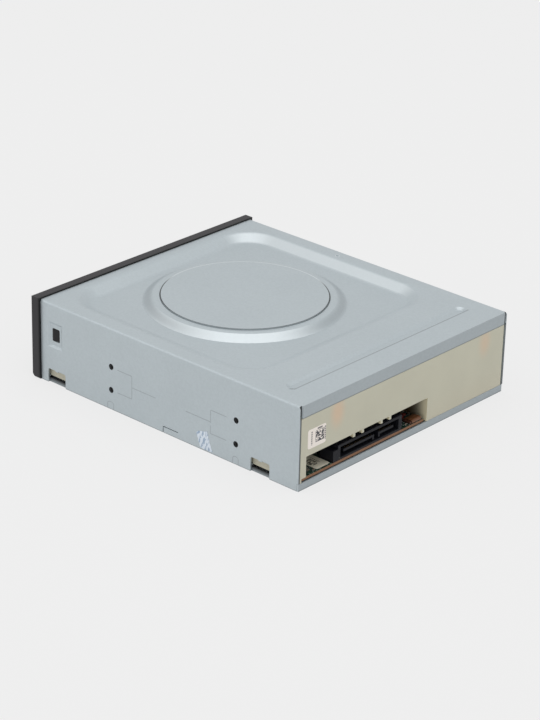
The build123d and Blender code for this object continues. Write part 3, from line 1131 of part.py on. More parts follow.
ROTOR_BOTTOM = BASE_TOP + GAP
PAD_SEAT = TURNTABLE_SEAT - PAD_THICKNESS
with BuildPart() as turntable:
    with BuildSketch(front_plane(SPINDLE_Y)):
        with BuildLine():
            Polyline(
                (0, PLATE_BOTTOM),
                (SPINDLE_R, PLATE_BOTTOM),
                (SPINDLE_R, POST_TOP + 2 * GAP),
                (ROTOR_R - ROTOR_WALL, POST_TOP + 2 * GAP),
                (ROTOR_R - ROTOR_WALL, ROTOR_BOTTOM),
                (ROTOR_R, ROTOR_BOTTOM),
                (ROTOR_R, TRAY_BOTTOM - ROTOR_WALL),
                (HUB_R, TRAY_BOTTOM - ROTOR_WALL),
                (HUB_R, PAD_SEAT - ROTOR_WALL),
                (TURNTABLE_R, PAD_SEAT - ROTOR_WALL),
                (TURNTABLE_R, PAD_SEAT),
                (HUB_R, PAD_SEAT),
                (HUB_R, TURNTABLE_SEAT + 1),
                (HUB_R - 2, HUB_TOP),
                (0, HUB_TOP),
                close=True,
            )
        make_face()
    revolve(axis=Axis((0, SPINDLE_Y, 0), (0, 0, 1)))
turntable.part.label = "turntable"
export_step(turntable.part, "parts/turntable.step")

with BuildPart() as turntable_pad:
    round_post((0, SPINDLE_Y), PAD_RANGE[1], (PAD_SEAT, TURNTABLE_SEAT))
    round_post((0, SPINDLE_Y), PAD_RANGE[0], (PAD_SEAT, TURNTABLE_SEAT), Mode.SUBTRACT)
turntable_pad.part.label = "turntable_pad"
export_step(turntable_pad.part, "parts/turntable_pad.step")

# Guide rods and the holders that hang them under the plate
with BuildPart() as guide_rods:
    with BuildSketch(front_plane(back(ROD_RANGE[0]))):
        with Locations((-ROD_X, ROD_Z), (ROD_X, ROD_Z)):
            Circle(ROD_R)
    extrude(amount=-(ROD_RANGE[1] - ROD_RANGE[0]))
guide_rods.part.label = "guide_rods"
export_step(guide_rods.part, "parts/guide_rods.step")

with BuildPart() as rod_holders:
    for x in (-ROD_X, ROD_X):
        for y in (back(ROD_RANGE[0]), back(ROD_RANGE[1]) - ROD_HOLDER[1]):
            holder_x = (x - ROD_HOLDER[0] / 2, x + ROD_HOLDER[0] / 2)
            block(holder_x, (y, y + ROD_HOLDER[1]), (ROD_Z - ROD_R - ROD_HOLDER[2], PLATE_BOTTOM))
    with BuildSketch(front_plane(back(ROD_RANGE[0]))):
        with Locations((-ROD_X, ROD_Z), (ROD_X, ROD_Z)):
            Circle(ROD_R)
    extrude(amount=-(ROD_RANGE[1] - ROD_RANGE[0]), mode=Mode.SUBTRACT)
rod_holders.part.label = "rod_holders"
export_step(rod_holders.part, "parts/rod_holders.step")

# Sled motor and its lead screw
with BuildPart() as sled_motor:
    with BuildSketch(front_plane(back(SLED_MOTOR_RANGE[0]))):
        with Locations((SCREW_X, ROD_Z)):
            Circle(SLED_MOTOR_R)
    extrude(amount=-(SLED_MOTOR_RANGE[1] - SLED_MOTOR_RANGE[0]))
    with BuildSketch(front_plane(back(SLED_MOTOR_RANGE[0]) + 1.0)):
        with Locations((SCREW_X, ROD_Z)):
            Circle(LEAD_R + RUNNING)
    extrude(amount=-SLED_MOTOR_RANGE[1] + SLED_MOTOR_RANGE[0] + 1.0, mode=Mode.SUBTRACT)
sled_motor.part.label = "sled_motor"
export_step(sled_motor.part, "parts/sled_motor.step")

with BuildPart() as lead_screw:
    with BuildSketch(front_plane(back(SLED_MOTOR_RANGE[0]) + 1.0 + GAP)):
        with Locations((SCREW_X, ROD_Z)):
            Circle(LEAD_R)
    extrude(amount=-(LEAD_END - SLED_MOTOR_RANGE[0] - GAP))
lead_screw.part.label = "lead_screw"
export_step(lead_screw.part, "parts/lead_screw.step")

# Pickup: casting on the rods with a bored bearing one side and an open fork the other
PICKUP_FRONT_Y = LENS_Y - PICKUP_BEFORE
PICKUP_REAR_Y = LENS_Y + PICKUP_AFTER
WELL_Y = (LENS_Y - WELL_FRONT, LENS_Y + WELL_HALF)
COVER_Z = (PICKUP_TOP, PICKUP_TOP + PICKUP_COVER)
with BuildPart() as pickup_body:
    block((-PICKUP_SIDE, PICKUP_SIDE), (PICKUP_FRONT_Y, PICKUP_REAR_Y), (PICKUP_BOTTOM, PICKUP_TOP))
    ears_z = (PICKUP_BOTTOM, ROD_Z + ROD_COVER[1])
    block((-ROD_X - ROD_COVER[0], 0), (PICKUP_FRONT_Y + 1, PICKUP_REAR_Y - 1), ears_z)
    block((0, ROD_X + ROD_COVER[0]), (LENS_Y - NUT_RANGE[0], LENS_Y + NUT_RANGE[0]), ears_z)
    with BuildSketch(front_plane(PICKUP_FRONT_Y)):
        with Locations((-ROD_X, ROD_Z)):
            Circle(ROD_R + RUNNING)
        fork = (ROD_Z - ROD_R - RUNNING, ROD_Z + ROD_R + RUNNING)
        span_rectangle(ROD_X - ROD_R - GAP, ROD_X + 2 * ROD_COVER[0], *fork)
    extrude(amount=-(PICKUP_REAR_Y - PICKUP_FRONT_Y), mode=Mode.SUBTRACT)
    # Well for the lens carrier
    block((-WELL_HALF, WELL_HALF), WELL_Y, (PICKUP_TOP - WELL_DEPTH, PICKUP_TOP), Mode.SUBTRACT)
pickup_body.part.label = "pickup_body"
export_step(pickup_body.part, "parts/pickup_body.step")

with BuildPart() as pickup_cover:
    block((1 - PICKUP_SIDE, PICKUP_SIDE - 1), (PICKUP_FRONT_Y, PICKUP_REAR_Y - 1), COVER_Z)
    block((-WELL_HALF, WELL_HALF), WELL_Y, COVER_Z, Mode.SUBTRACT)
pickup_cover.part.label = "pickup_cover"
export_step(pickup_cover.part, "parts/pickup_cover.step")

# Nut arm that rides the lead screw
with BuildPart() as sled_nut:
    nut_face = SCREW_X - LEAD_R - NUT_GAP
    nut_y = (LENS_Y + NUT_RANGE[0], LENS_Y + NUT_RANGE[1])
    block((PICKUP_SIDE - 3 * NUT_THICKNESS, nut_face), nut_y, (PICKUP_BOTTOM - 3 * GAP, PICKUP_BOTTOM))
    block((nut_face - NUT_THICKNESS, nut_face), nut_y, (PICKUP_BOTTOM, ROD_Z + LEAD_R))
sled_nut.part.label = "sled_nut"
export_step(sled_nut.part, "parts/sled_nut.step")

# Lens carrier with side coils, hung in the well, and the lens on it
CARRIER_BOTTOM = PICKUP_TOP - WELL_DEPTH + CARRIER_FLOAT
CARRIER_TOP = PICKUP_TOP + CARRIER_REACH
with BuildPart() as lens_carrier:
    carrier_y = (LENS_Y - CARRIER_HALF, LENS_Y + CARRIER_HALF)
    block((-CARRIER_HALF, CARRIER_HALF), carrier_y, (CARRIER_BOTTOM, CARRIER_TOP))
    coil_x = (-CARRIER_COIL[0], CARRIER_COIL[0])
    coil_y = (LENS_Y - CARRIER_COIL[1], LENS_Y + CARRIER_COIL[1])
    block(coil_x, coil_y, (CARRIER_BOTTOM, CARRIER_BOTTOM + CARRIER_COIL[2]))
    round_post((0, LENS_Y), LENS_R, (CARRIER_TOP - LENS_SEAT, CARRIER_TOP), Mode.SUBTRACT)
lens_carrier.part.label = "lens_carrier"
export_step(lens_carrier.part, "parts/lens_carrier.step")

LENS_TOP = CARRIER_TOP + LENS_RISE
LENS_CAP = LENS_RISE + LENS_EDGE
LENS_CURVE_R = (LENS_R**2 + LENS_CAP**2) / (2 * LENS_CAP)
lens_middle = (LENS_R / 2, LENS_TOP - LENS_CURVE_R + sqrt(LENS_CURVE_R**2 - LENS_R**2 / 4))
with BuildPart() as objective_lens:
    with BuildSketch(front_plane(LENS_Y)):
        with BuildLine():
            Line((0, CARRIER_TOP - LENS_SEAT), (LENS_R, CARRIER_TOP - LENS_SEAT))
            Line((LENS_R, CARRIER_TOP - LENS_SEAT), (LENS_R, CARRIER_TOP - LENS_EDGE))
            ThreePointArc((LENS_R, CARRIER_TOP - LENS_EDGE), lens_middle, (0, LENS_TOP))
            Line((0, LENS_TOP), (0, CARRIER_TOP - LENS_SEAT))
        make_face()
    revolve(axis=Axis((0, LENS_Y, 0), (0, 0, 1)))
objective_lens.part.label = "objective_lens"
export_step(objective_lens.part, "parts/objective_lens.step")

# Clamp bracket across the tray, its screws, and the free clamp that hangs in its hole
BRACKET_TOP = BRACKET_BOTTOM + BRACKET_THICKNESS
with BuildPart() as clamp_bracket:
    block((-FRAME_SIDE, FRAME_SIDE), BRACKET_Y, (BRACKET_BOTTOM, BRACKET_TOP))
    round_post((0, SPINDLE_Y), BRACKET_HOLE_R, (BRACKET_BOTTOM, BRACKET_TOP), Mode.SUBTRACT)
    for side in (1, -1):
        with BuildSketch(Plane.XY.offset(BRACKET_BOTTOM)):
            with Locations((side * BRACKET_SLOT_PLACE, SPINDLE_Y)):
                Rectangle(*BRACKET_SLOT)
        extrude(amount=BRACKET_THICKNESS, mode=Mode.SUBTRACT)
    for spot in BRACKET_SCREWS:
        round_post(spot, BRACKET_SCREW_R, (BRACKET_BOTTOM, BRACKET_TOP), Mode.SUBTRACT)
clamp_bracket.part.label = "clamp_bracket"
export_step(clamp_bracket.part, "parts/clamp_bracket.step")

with BuildPart() as bracket_screws:
    for spot in BRACKET_SCREWS:
        length = BRACKET_THICKNESS + BRACKET_SCREW_DEPTH
        pan_screw(spot, BRACKET_TOP, length, upward=False, radius=BRACKET_SCREW_R)
bracket_screws.part.label = "bracket_screws"
export_step(bracket_screws.part, "parts/bracket_screws.step")

with BuildPart() as disc_clamp:
    with BuildSketch(front_plane(SPINDLE_Y)):
        with BuildLine():
            Polyline(
                (0, HUB_TOP + GAP),
                (CLAMP_RING_R, HUB_TOP + GAP),
                (CLAMP_NECK_R, BRACKET_BOTTOM - GAP),
                (CLAMP_NECK_R, BRACKET_TOP + GAP),
                (CLAMP_FLANGE_R, BRACKET_TOP + GAP),
                (CLAMP_FLANGE_R, BRACKET_TOP + GAP + CLAMP_FLANGE),
                (CLAMP_DOME_R[0], BRACKET_TOP + GAP + CLAMP_FLANGE),
                (CLAMP_DOME_R[1], CLAMP_DOME_TOP),
                (0, CLAMP_DOME_TOP),
                close=True,
            )
        make_face()
    revolve(axis=Axis((0, SPINDLE_Y, 0), (0, 0, 1)))
disc_clamp.part.label = "disc_clamp"
export_step(disc_clamp.part, "parts/disc_clamp.step")

with BuildPart() as clamp_yoke:
    round_post((0, SPINDLE_Y), YOKE_R, (CLAMP_DOME_TOP, CLAMP_DOME_TOP + YOKE_THICKNESS))
clamp_yoke.part.label = "clamp_yoke"
export_step(clamp_yoke.part, "parts/clamp_yoke.step")

# Main board with its screws and parts
BOARD_REAR_Y = REAR_Y - BOARD_REAR_GAP
with BuildPart() as main_board:
    block((BOARD_LEFT, BOARD_RIGHT), (back(BOARD_FRONT), BOARD_REAR_Y), (BOARD_BOTTOM, BOARD_TOP))
    for spot in BOARD_SPOTS:
        round_post(spot, SCREW_R, (BOARD_BOTTOM, BOARD_TOP), Mode.SUBTRACT)
main_board.part.label = "main_board"
export_step(main_board.part, "parts/main_board.step")

with BuildPart() as board_screws:
    for spot in BOARD_SPOTS:
        pan_screw(spot, BOARD_TOP, BOARD_TOP - SHEET, upward=False)
board_screws.part.label = "board_screws"
export_step(board_screws.part, "parts/board_screws.step")


def board_chips(places, height):
    """Square packages on the board; each place is x, distance behind the front, width and length."""
    for x, y, width, length in places:
        chip_y = (back(y) - length / 2, back(y) + length / 2)
        block((x - width / 2, x + width / 2), chip_y, (BOARD_TOP, BOARD_TOP + height))


with BuildPart() as controller_chip:
    board_chips([CONTROLLER], CHIP_HEIGHT)
controller_chip.part.label = "controller_chip"
export_step(controller_chip.part, "parts/controller_chip.step")

with BuildPart() as driver_chip:
    board_chips([DRIVER], CHIP_HEIGHT)
driver_chip.part.label = "driver_chip"
export_step(driver_chip.part, "parts/driver_chip.step")

with BuildPart() as memory_chip:
    board_chips([MEMORY], MEMORY_HEIGHT)
memory_chip.part.label = "memory_chip"
export_step(memory_chip.part, "parts/memory_chip.step")

with BuildPart() as flex_sockets:
    board_chips(SOCKETS, SOCKET_HEIGHT)
flex_sockets.part.label = "flex_sockets"
export_step(flex_sockets.part, "parts/flex_sockets.step")

with BuildPart() as capacitors:
    for place in CAPACITOR_Y:
        round_post((CAPACITOR_X, back(place)), CAPACITOR_R, (BOARD_TOP, BOARD_TOP + CAPACITOR_HEIGHT))
capacitors.part.label = "capacitors"
export_step(capacitors.part, "parts/capacitors.step")

# Combined power and data plug: open-fronted shell with two keyed tongues
SATA_TOP = BOARD_TOP + SATA_HEIGHT
SATA_BACK_Y = BOARD_REAR_Y - SATA_DEPTH
MOUTH_BACK_Y = BOARD_REAR_Y - SATA_MOUTH
TONGUE_Z = BOARD_TOP + TONGUE_HEIGHT
TONGUE_TOP = TONGUE_Z + TONGUE_THICKNESS
with BuildPart() as sata_connector:
    block((SATA_LEFT, SATA_RIGHT - SATA_EAR), (SATA_BACK_Y, BOARD_REAR_Y), (BOARD_TOP, SATA_TOP))
    ear_y = (SATA_BACK_Y + SATA_EAR_SETBACK, BOARD_REAR_Y)
    block((SATA_LEFT, SATA_RIGHT), ear_y, (BOARD_TOP, BOARD_TOP + SATA_EAR_HEIGHT))
    block(
        (SATA_LEFT + SATA_END_WALLS[0], SATA_RIGHT - SATA_EAR - SATA_END_WALLS[1]),
        (MOUTH_BACK_Y, BOARD_REAR_Y),
        (BOARD_TOP + SATA_FLOOR, SATA_TOP - SATA_WALL),
        Mode.SUBTRACT,
    )
    tongue_y = (MOUTH_BACK_Y, BOARD_REAR_Y - TONGUE_SETBACK)
    for tongue in (POWER_TONGUE, DATA_TONGUE):
        block(tongue, tongue_y, (TONGUE_Z, TONGUE_TOP))
    for key_left in (POWER_TONGUE[0], DATA_TONGUE[1] - TONGUE_KEY):
        block((key_left, key_left + TONGUE_KEY), tongue_y, (TONGUE_Z - TONGUE_KEY, TONGUE_Z))
sata_connector.part.label = "sata_connector"
export_step(sata_connector.part, "parts/sata_connector.step")

with BuildPart() as sata_contacts:
    contact_end_y = BOARD_REAR_Y - CONTACT_SETBACK
    for tongue, count in ((POWER_TONGUE, POWER_CONTACTS), (DATA_TONGUE, DATA_CONTACTS)):
        middle = (tongue[0] + tongue[1]) / 2
        for number in range(count):
            x = middle + (number - (count - 1) / 2) * CONTACT_PITCH
            block(
                (x - CONTACT_SIZE[0] / 2, x + CONTACT_SIZE[0] / 2),
                (contact_end_y - CONTACT_SIZE[1], contact_end_y),
                (TONGUE_TOP, TONGUE_TOP + CONTACT_SIZE[2]),
            )
sata_contacts.part.label = "sata_contacts"
export_step(sata_contacts.part, "parts/sata_contacts.step")

# Front board on edge behind the bezel, with the eject switch, status light and its ribbon to the main board
BOARD_FACE_Y = back(FRONT_BOARD_PLACE)
with BuildPart() as front_board:
    block(
        (FRONT_BOARD_X - FRONT_BOARD_SIZE[0] / 2, FRONT_BOARD_X + FRONT_BOARD_SIZE[0] / 2),
        (BOARD_FACE_Y, BOARD_FACE_Y + FRONT_BOARD_THICKNESS),
        (FRONT_BOARD_LOW, FRONT_BOARD_LOW + FRONT_BOARD_SIZE[1]),
    )
front_board.part.label = "front_board"
export_step(front_board.part, "parts/front_board.step")

with BuildPart() as eject_switch:
    x, z = BUTTON_PLACE
    body_y = (SWITCH_TIP_Y + SWITCH_PLUNGER[1], BOARD_FACE_Y)
    block((x - SWITCH_HALF, x + SWITCH_HALF), body_y, (z - SWITCH_HALF, z + SWITCH_HALF))
    with BuildSketch(front_plane(SWITCH_TIP_Y)):
        with Locations(BUTTON_PLACE):
            Circle(SWITCH_PLUNGER[0])
    extrude(amount=-SWITCH_PLUNGER[1])
eject_switch.part.label = "eject_switch"
export_step(eject_switch.part, "parts/eject_switch.step")

with BuildPart() as status_light:
    x, z = LIGHT_PIPE_PLACE
    half_x, half_z = STATUS_LIGHT_HALF
    block((x - half_x, x + half_x), (STATUS_LIGHT_Y, BOARD_FACE_Y), (z - half_z, z + half_z))
status_light.part.label = "status_light"
export_step(status_light.part, "parts/status_light.step")

# Ribbon: down the back of the front board, along the bottom cover, up to the main board's front edge
RIBBON_LOW = SHEET + PANEL_DEPTH + FIT
RIBBON_FRONT_Y = BOARD_FACE_Y + FRONT_BOARD_THICKNESS
RIBBON_REAR_Y = back(BOARD_FRONT) - 2
RIBBON_END_Z = BOARD_TOP + 2 * RIBBON
with BuildPart() as front_ribbon:
    with BuildSketch(Plane(origin=(RIBBON_X[0], 0, 0), x_dir=(0, 1, 0), z_dir=(1, 0, 0))):
        span_rectangle(RIBBON_FRONT_Y, RIBBON_FRONT_Y + RIBBON, RIBBON_LOW, FRONT_BOARD_LOW + RIBBON_RISE)
        span_rectangle(RIBBON_FRONT_Y, RIBBON_REAR_Y, RIBBON_LOW, RIBBON_LOW + RIBBON)
        span_rectangle(RIBBON_REAR_Y - RIBBON, RIBBON_REAR_Y, RIBBON_LOW, RIBBON_END_Z)
        plug_end_y = back(BOARD_FRONT + RIBBON_PLUG_IN)
        span_rectangle(RIBBON_REAR_Y - RIBBON, plug_end_y, RIBBON_END_Z - RIBBON, RIBBON_END_Z)
    extrude(amount=RIBBON_X[1] - RIBBON_X[0])
front_ribbon.part.label = "front_ribbon"
export_step(front_ribbon.part, "parts/front_ribbon.step")
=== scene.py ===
"""Looks of a half-height optical disc drive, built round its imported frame."""

import logging
import math
import random
from dataclasses import dataclass
from enum import Enum

import bmesh
import bpy
from mathutils import Matrix, Vector


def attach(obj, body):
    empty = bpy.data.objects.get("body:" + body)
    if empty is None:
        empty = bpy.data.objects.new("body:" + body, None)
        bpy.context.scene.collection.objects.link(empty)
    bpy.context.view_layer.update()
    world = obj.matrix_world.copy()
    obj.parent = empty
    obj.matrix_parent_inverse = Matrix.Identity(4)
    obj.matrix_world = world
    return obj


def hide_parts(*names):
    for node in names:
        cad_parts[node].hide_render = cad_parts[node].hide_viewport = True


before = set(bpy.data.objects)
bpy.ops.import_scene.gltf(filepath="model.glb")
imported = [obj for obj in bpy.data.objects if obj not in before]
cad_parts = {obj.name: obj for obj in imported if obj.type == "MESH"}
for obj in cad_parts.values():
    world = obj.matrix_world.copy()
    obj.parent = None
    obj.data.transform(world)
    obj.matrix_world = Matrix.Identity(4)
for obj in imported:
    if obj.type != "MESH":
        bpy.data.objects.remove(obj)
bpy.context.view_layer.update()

MM = 0.001
LOG = logging.getLogger("disc_drive")
Pair = tuple[float, float]
Triple = tuple[float, float, float]


class Body(Enum):
    """Bodies of the drive that the added pieces ride on."""

    CASE = "case"
    TRAY = "tray"
    DECK = "deck"
    SPINDLE = "spindle"
    PICKUP = "pickup"
    LEAD = "lead"


class Value:
    """A shader socket that can stand in Python expressions."""

    def __init__(self, graph: "Graph", socket: bpy.types.NodeSocket) -> None:
        """Keeps the socket and the graph that it belongs to.

        Args:
            graph: The material graph that new nodes go into.
            socket: The output socket that this value reads.
        """
        self.graph = graph
        self.socket = socket

    def _maths(self, operation: str, *others: "Value | float") -> "Value":
        """Adds one Math node.

        Args:
            operation: The Math node's operation.
            others: The inputs, this value among them, in order.

        Returns:
            The node's result.
        """
        inputs = {place: other for place, other in enumerate(others)}
        return self.graph.node("ShaderNodeMath", {"operation": operation}, inputs)

    def __add__(self, other: "Value | float") -> "Value":
        """Sum."""
        return self._maths("ADD", self, other)

    __radd__ = __add__

    def __sub__(self, other: "Value | float") -> "Value":
        """Difference."""
        return self._maths("SUBTRACT", self, other)

    def __rsub__(self, other: float) -> "Value":
        """Difference from a number."""
        return self._maths("SUBTRACT", other, self)

    def __mul__(self, other: "Value | float") -> "Value":
        """Product."""
        return self._maths("MULTIPLY", self, other)

    __rmul__ = __mul__

    def __truediv__(self, other: "Value | float") -> "Value":
        """Quotient."""
        return self._maths("DIVIDE", self, other)

    def __pow__(self, other: float) -> "Value":
        """Power."""
        return self._maths("POWER", self, other)

    def __abs__(self) -> "Value":
        """Distance from nought."""
        return self._maths("ABSOLUTE", self)

    def high(self, other: "Value | float") -> "Value":
        """The larger of two values."""
        return self._maths("MAXIMUM", self, other)

    def low(self, other: "Value | float") -> "Value":
        """The smaller of two values."""
        return self._maths("MINIMUM", self, other)

    def above(self, limit: "Value | float") -> "Value":
        """One where this is more than the limit."""
        return self._maths("GREATER_THAN", self, limit)

    def below(self, limit: "Value | float") -> "Value":
        """One where this is not more than the limit."""
        return 1.0 - self.above(limit)

    def fraction(self) -> "Value":
        """What is left after the whole part."""
        return self._maths("FRACT", self)

    def ease(self, start: float, end: float) -> "Value":
        """Smooth step.

        Args:
            start: Value at which the result is 0.
            end: Value at which the result is 1.

        Returns:
            The eased value.
        """
        return self.graph.node(
            "ShaderNodeMapRange",
            {"interpolation_type": "SMOOTHSTEP"},
            {"Value": self, "From Min": start, "From Max": end},
        )

    def near(self, middle: float, full: float, gone: float) -> "Value":
        """Soft band about a number.

        Args:
            middle: The number.
            full: Distance from it up to which the result is 1.
            gone: Distance from it at which the result is 0.

        Returns:
            The band.
        """
        return 1.0 - abs(self - middle).ease(full, gone)

    def reach(self, other: "Value") -> "Value":
        """Length of a line that this and the other value are the two parts of."""
        return (self ** 2.0 + other ** 2.0) ** 0.5


class Graph:
    """One material's nodes."""

    def __init__(self, name: str) -> None:
        """Starts a material with its shader.

        Args:
            name: The material's name.
        """
        self.material = bpy.data.materials.new(name)
        self.material.use_nodes = True
        self.tree = self.material.node_tree
        self.shader = self.tree.nodes["Principled BSDF"]
        self.place: Value | None = None

    def node(self, kind: str, settings: dict, inputs: dict, output: int | str = 0) -> Value:
        """Adds any node.

        Args:
            kind: The node's type.
            settings: Attributes that are set first, such as a Math node's operation.
            inputs: Socket names or places with numbers, colours or values.
            output: Which output to return.

        Returns:
            The chosen output.
        """
        made = self.tree.nodes.new(kind)
        for key, setting in settings.items():
            setattr(made, key, setting)
        for key, given in inputs.items():
            socket = self._socket(made, key)
            if isinstance(given, Value):
                self.tree.links.new(given.socket, socket)
            else:
                socket.default_value = given
        return Value(self, made.outputs[output])

    @staticmethod
    def _socket(made: bpy.types.Node, key: int | str) -> bpy.types.NodeSocket:
        """Finds the enabled input of a name, or the input at a place.

        Args:
            made: The node.
            key: The input's name or place.

        Returns:
            The socket.
        """
        if isinstance(key, int):
            return made.inputs[key]
        return next(s for s in made.inputs if s.name == key and s.enabled)

    def where(self) -> Value:
        """Finds the place on the piece, in the drive's own frame.

        Returns:
            The place in metres, from one node for the whole material.
        """
        if self.place is None:
            self.place = self.node("ShaderNodeTexCoord", {}, {}, "Object")
        return self.place

    def _parts(self, given: Value) -> tuple[Value, Value, Value]:
        """The three parts of a place or direction."""
        split = self.node("ShaderNodeSeparateXYZ", {}, {"Vector": given}).socket.node
        return tuple(Value(self, part) for part in split.outputs)

    def axes(self) -> tuple[Value, Value, Value]:
        """The three parts of the place on the piece."""
        return self._parts(self.where())

    def normals(self) -> tuple[Value, Value, Value]:
        """The three parts of the surface's direction in the drive's own frame."""
        return self._parts(self.node("ShaderNodeTexCoord", {}, {}, "Normal"))

    def noise(self, size: float, detail: float = 2.0, stretch: Triple | None = None) -> Value:
        """Noise with grains of a size.

        Args:
            size: Grain size in metres.
            detail: Noise detail.
            stretch: Factors along the axes, where the grain is drawn out.

        Returns:
            A value about 0.5.
        """
        place = self.where()
        if stretch:
            place = self.node(
                "ShaderNodeVectorMath", {"operation": "MULTIPLY"}, {0: place, 1: stretch}
            )
        return self.node(
            "ShaderNodeTexNoise", {}, {"Vector": place, "Scale": 1.0 / size, "Detail": detail}
        )

    def cells(self, size: float, output: str = "Distance") -> Value:
        """Cell texture with cells of a size.

        Args:
            size: Cell size in metres.
            output: Which output of the texture to return.

        Returns:
            The chosen output.
        """
        inputs = {"Vector": self.where(), "Scale": 1.0 / size}
        return self.node("ShaderNodeTexVoronoi", {}, inputs, output)

    def mix(self, mask: Value | float, first: Value | tuple, second: Value | tuple) -> Value:
        """Colour mix.

        Args:
            mask: 0 gives the first colour and 1 the second.
            first: First colour.
            second: Second colour.

        Returns:
            The mixed colour.
        """
        return self.node(
            "ShaderNodeMix",
            {"data_type": "RGBA"},
            {"Factor": mask, "A": self._colour(first), "B": self._colour(second)},
            2,
        )

    @staticmethod
    def _colour(given: Value | tuple) -> Value | tuple:
        """A colour of four numbers from one of three."""
        return given if isinstance(given, Value) else (*given[:3], 1.0)

    def bump(self, height: Value, depth: float) -> Value:
        """Surface direction from a height of 0 to 1, whose full depth is in metres."""
        return self.node("ShaderNodeBump", {}, {"Height": height, "Distance": depth})

    def set(self, **sockets: Value | float | tuple) -> None:
        """Fills sockets of the shader, with underscores for spaces.

        Args:
            sockets: Socket names with values or links.
        """
        for key, given in sockets.items():
            socket = self.shader.inputs[key.replace("_", " ")]
            if isinstance(given, Value):
                self.tree.links.new(given.socket, socket)
            elif isinstance(given, tuple):
                socket.default_value = (*given[:3], 1.0)
            else:
                socket.default_value = given


@dataclass(frozen=True)
class Finish:
    """A finish; each kind paints its own material."""

    name: str
    colour: Triple
    roughness: float = 0.5

    def material(self) -> bpy.types.Material:
        """Finds the finish's material, and makes it on first use.

        Returns:
            The material.
        """
        known = bpy.data.materials.get(self.name)
        if known:
            return known
        graph = Graph(self.name)
        self.paint(graph)
        return graph.material

    def paint(self, graph: Graph) -> None:
        """Fills the material; each kind of finish has its own way."""
        raise NotImplementedError

    def shade(self, graph: Graph, amount: float, mask: Value) -> Value:
        """Colour that turns darker with a mask.

        Args:
            graph: The material's graph.
            amount: How much darker at most, from 0 to 1.
            mask: Where it is darker.

        Returns:
            The colour.
        """
        dark = tuple(part * (1.0 - amount) for part in self.colour)
        return graph.mix(mask, self.colour, dark)


@dataclass(frozen=True)
class SheetSteel(Finish):
    """Zinc-coated sheet with a fine spangle and faint rolling lines."""

    metal: float = 0.55
    spangle: float = 0.0009
    grain: float = 0.00022
    relief: float = 0.000005

    def paint(self, graph: Graph) -> None:
        """Fills the material.

        Args:
            graph: The material's graph.
        """
        cloud = graph.noise(0.03, 3.0)
        spangle = graph.cells(self.spangle, "Color")
        flake = graph.node("ShaderNodeSeparateColor", {}, {"Color": spangle})
        grain = graph.noise(self.grain, 3.0)
        rolled = graph.noise(0.0004, 2.0, (1.0, 0.04, 1.0))
        shares = ((cloud, 0.35), (flake, 0.16), (rolled, 0.12), (grain, 0.2))
        tone = sum((part - 0.5) * share for part, share in shares)
        plain = self.shade(graph, 0.2, (tone + 0.35).high(0.0).low(1.0))
        graph.set(
            Base_Color=self.marked(graph, plain),
            Metallic=self.metal,
            Roughness=(cloud - 0.5) * 0.12 + (flake - 0.5) * 0.06 + self.roughness,
            Normal=graph.bump(grain * 0.7 + flake * 0.3, self.relief),
        )

    def marked(self, graph: Graph, plain: Value) -> Value:
        """Colour with painted highlights, painted shade and other marks, where the sheet has any.

        Args:
            graph: The material's graph.
            plain: The plain sheet's colour.

        Returns:
            The colour with its marks.
        """
        return plain


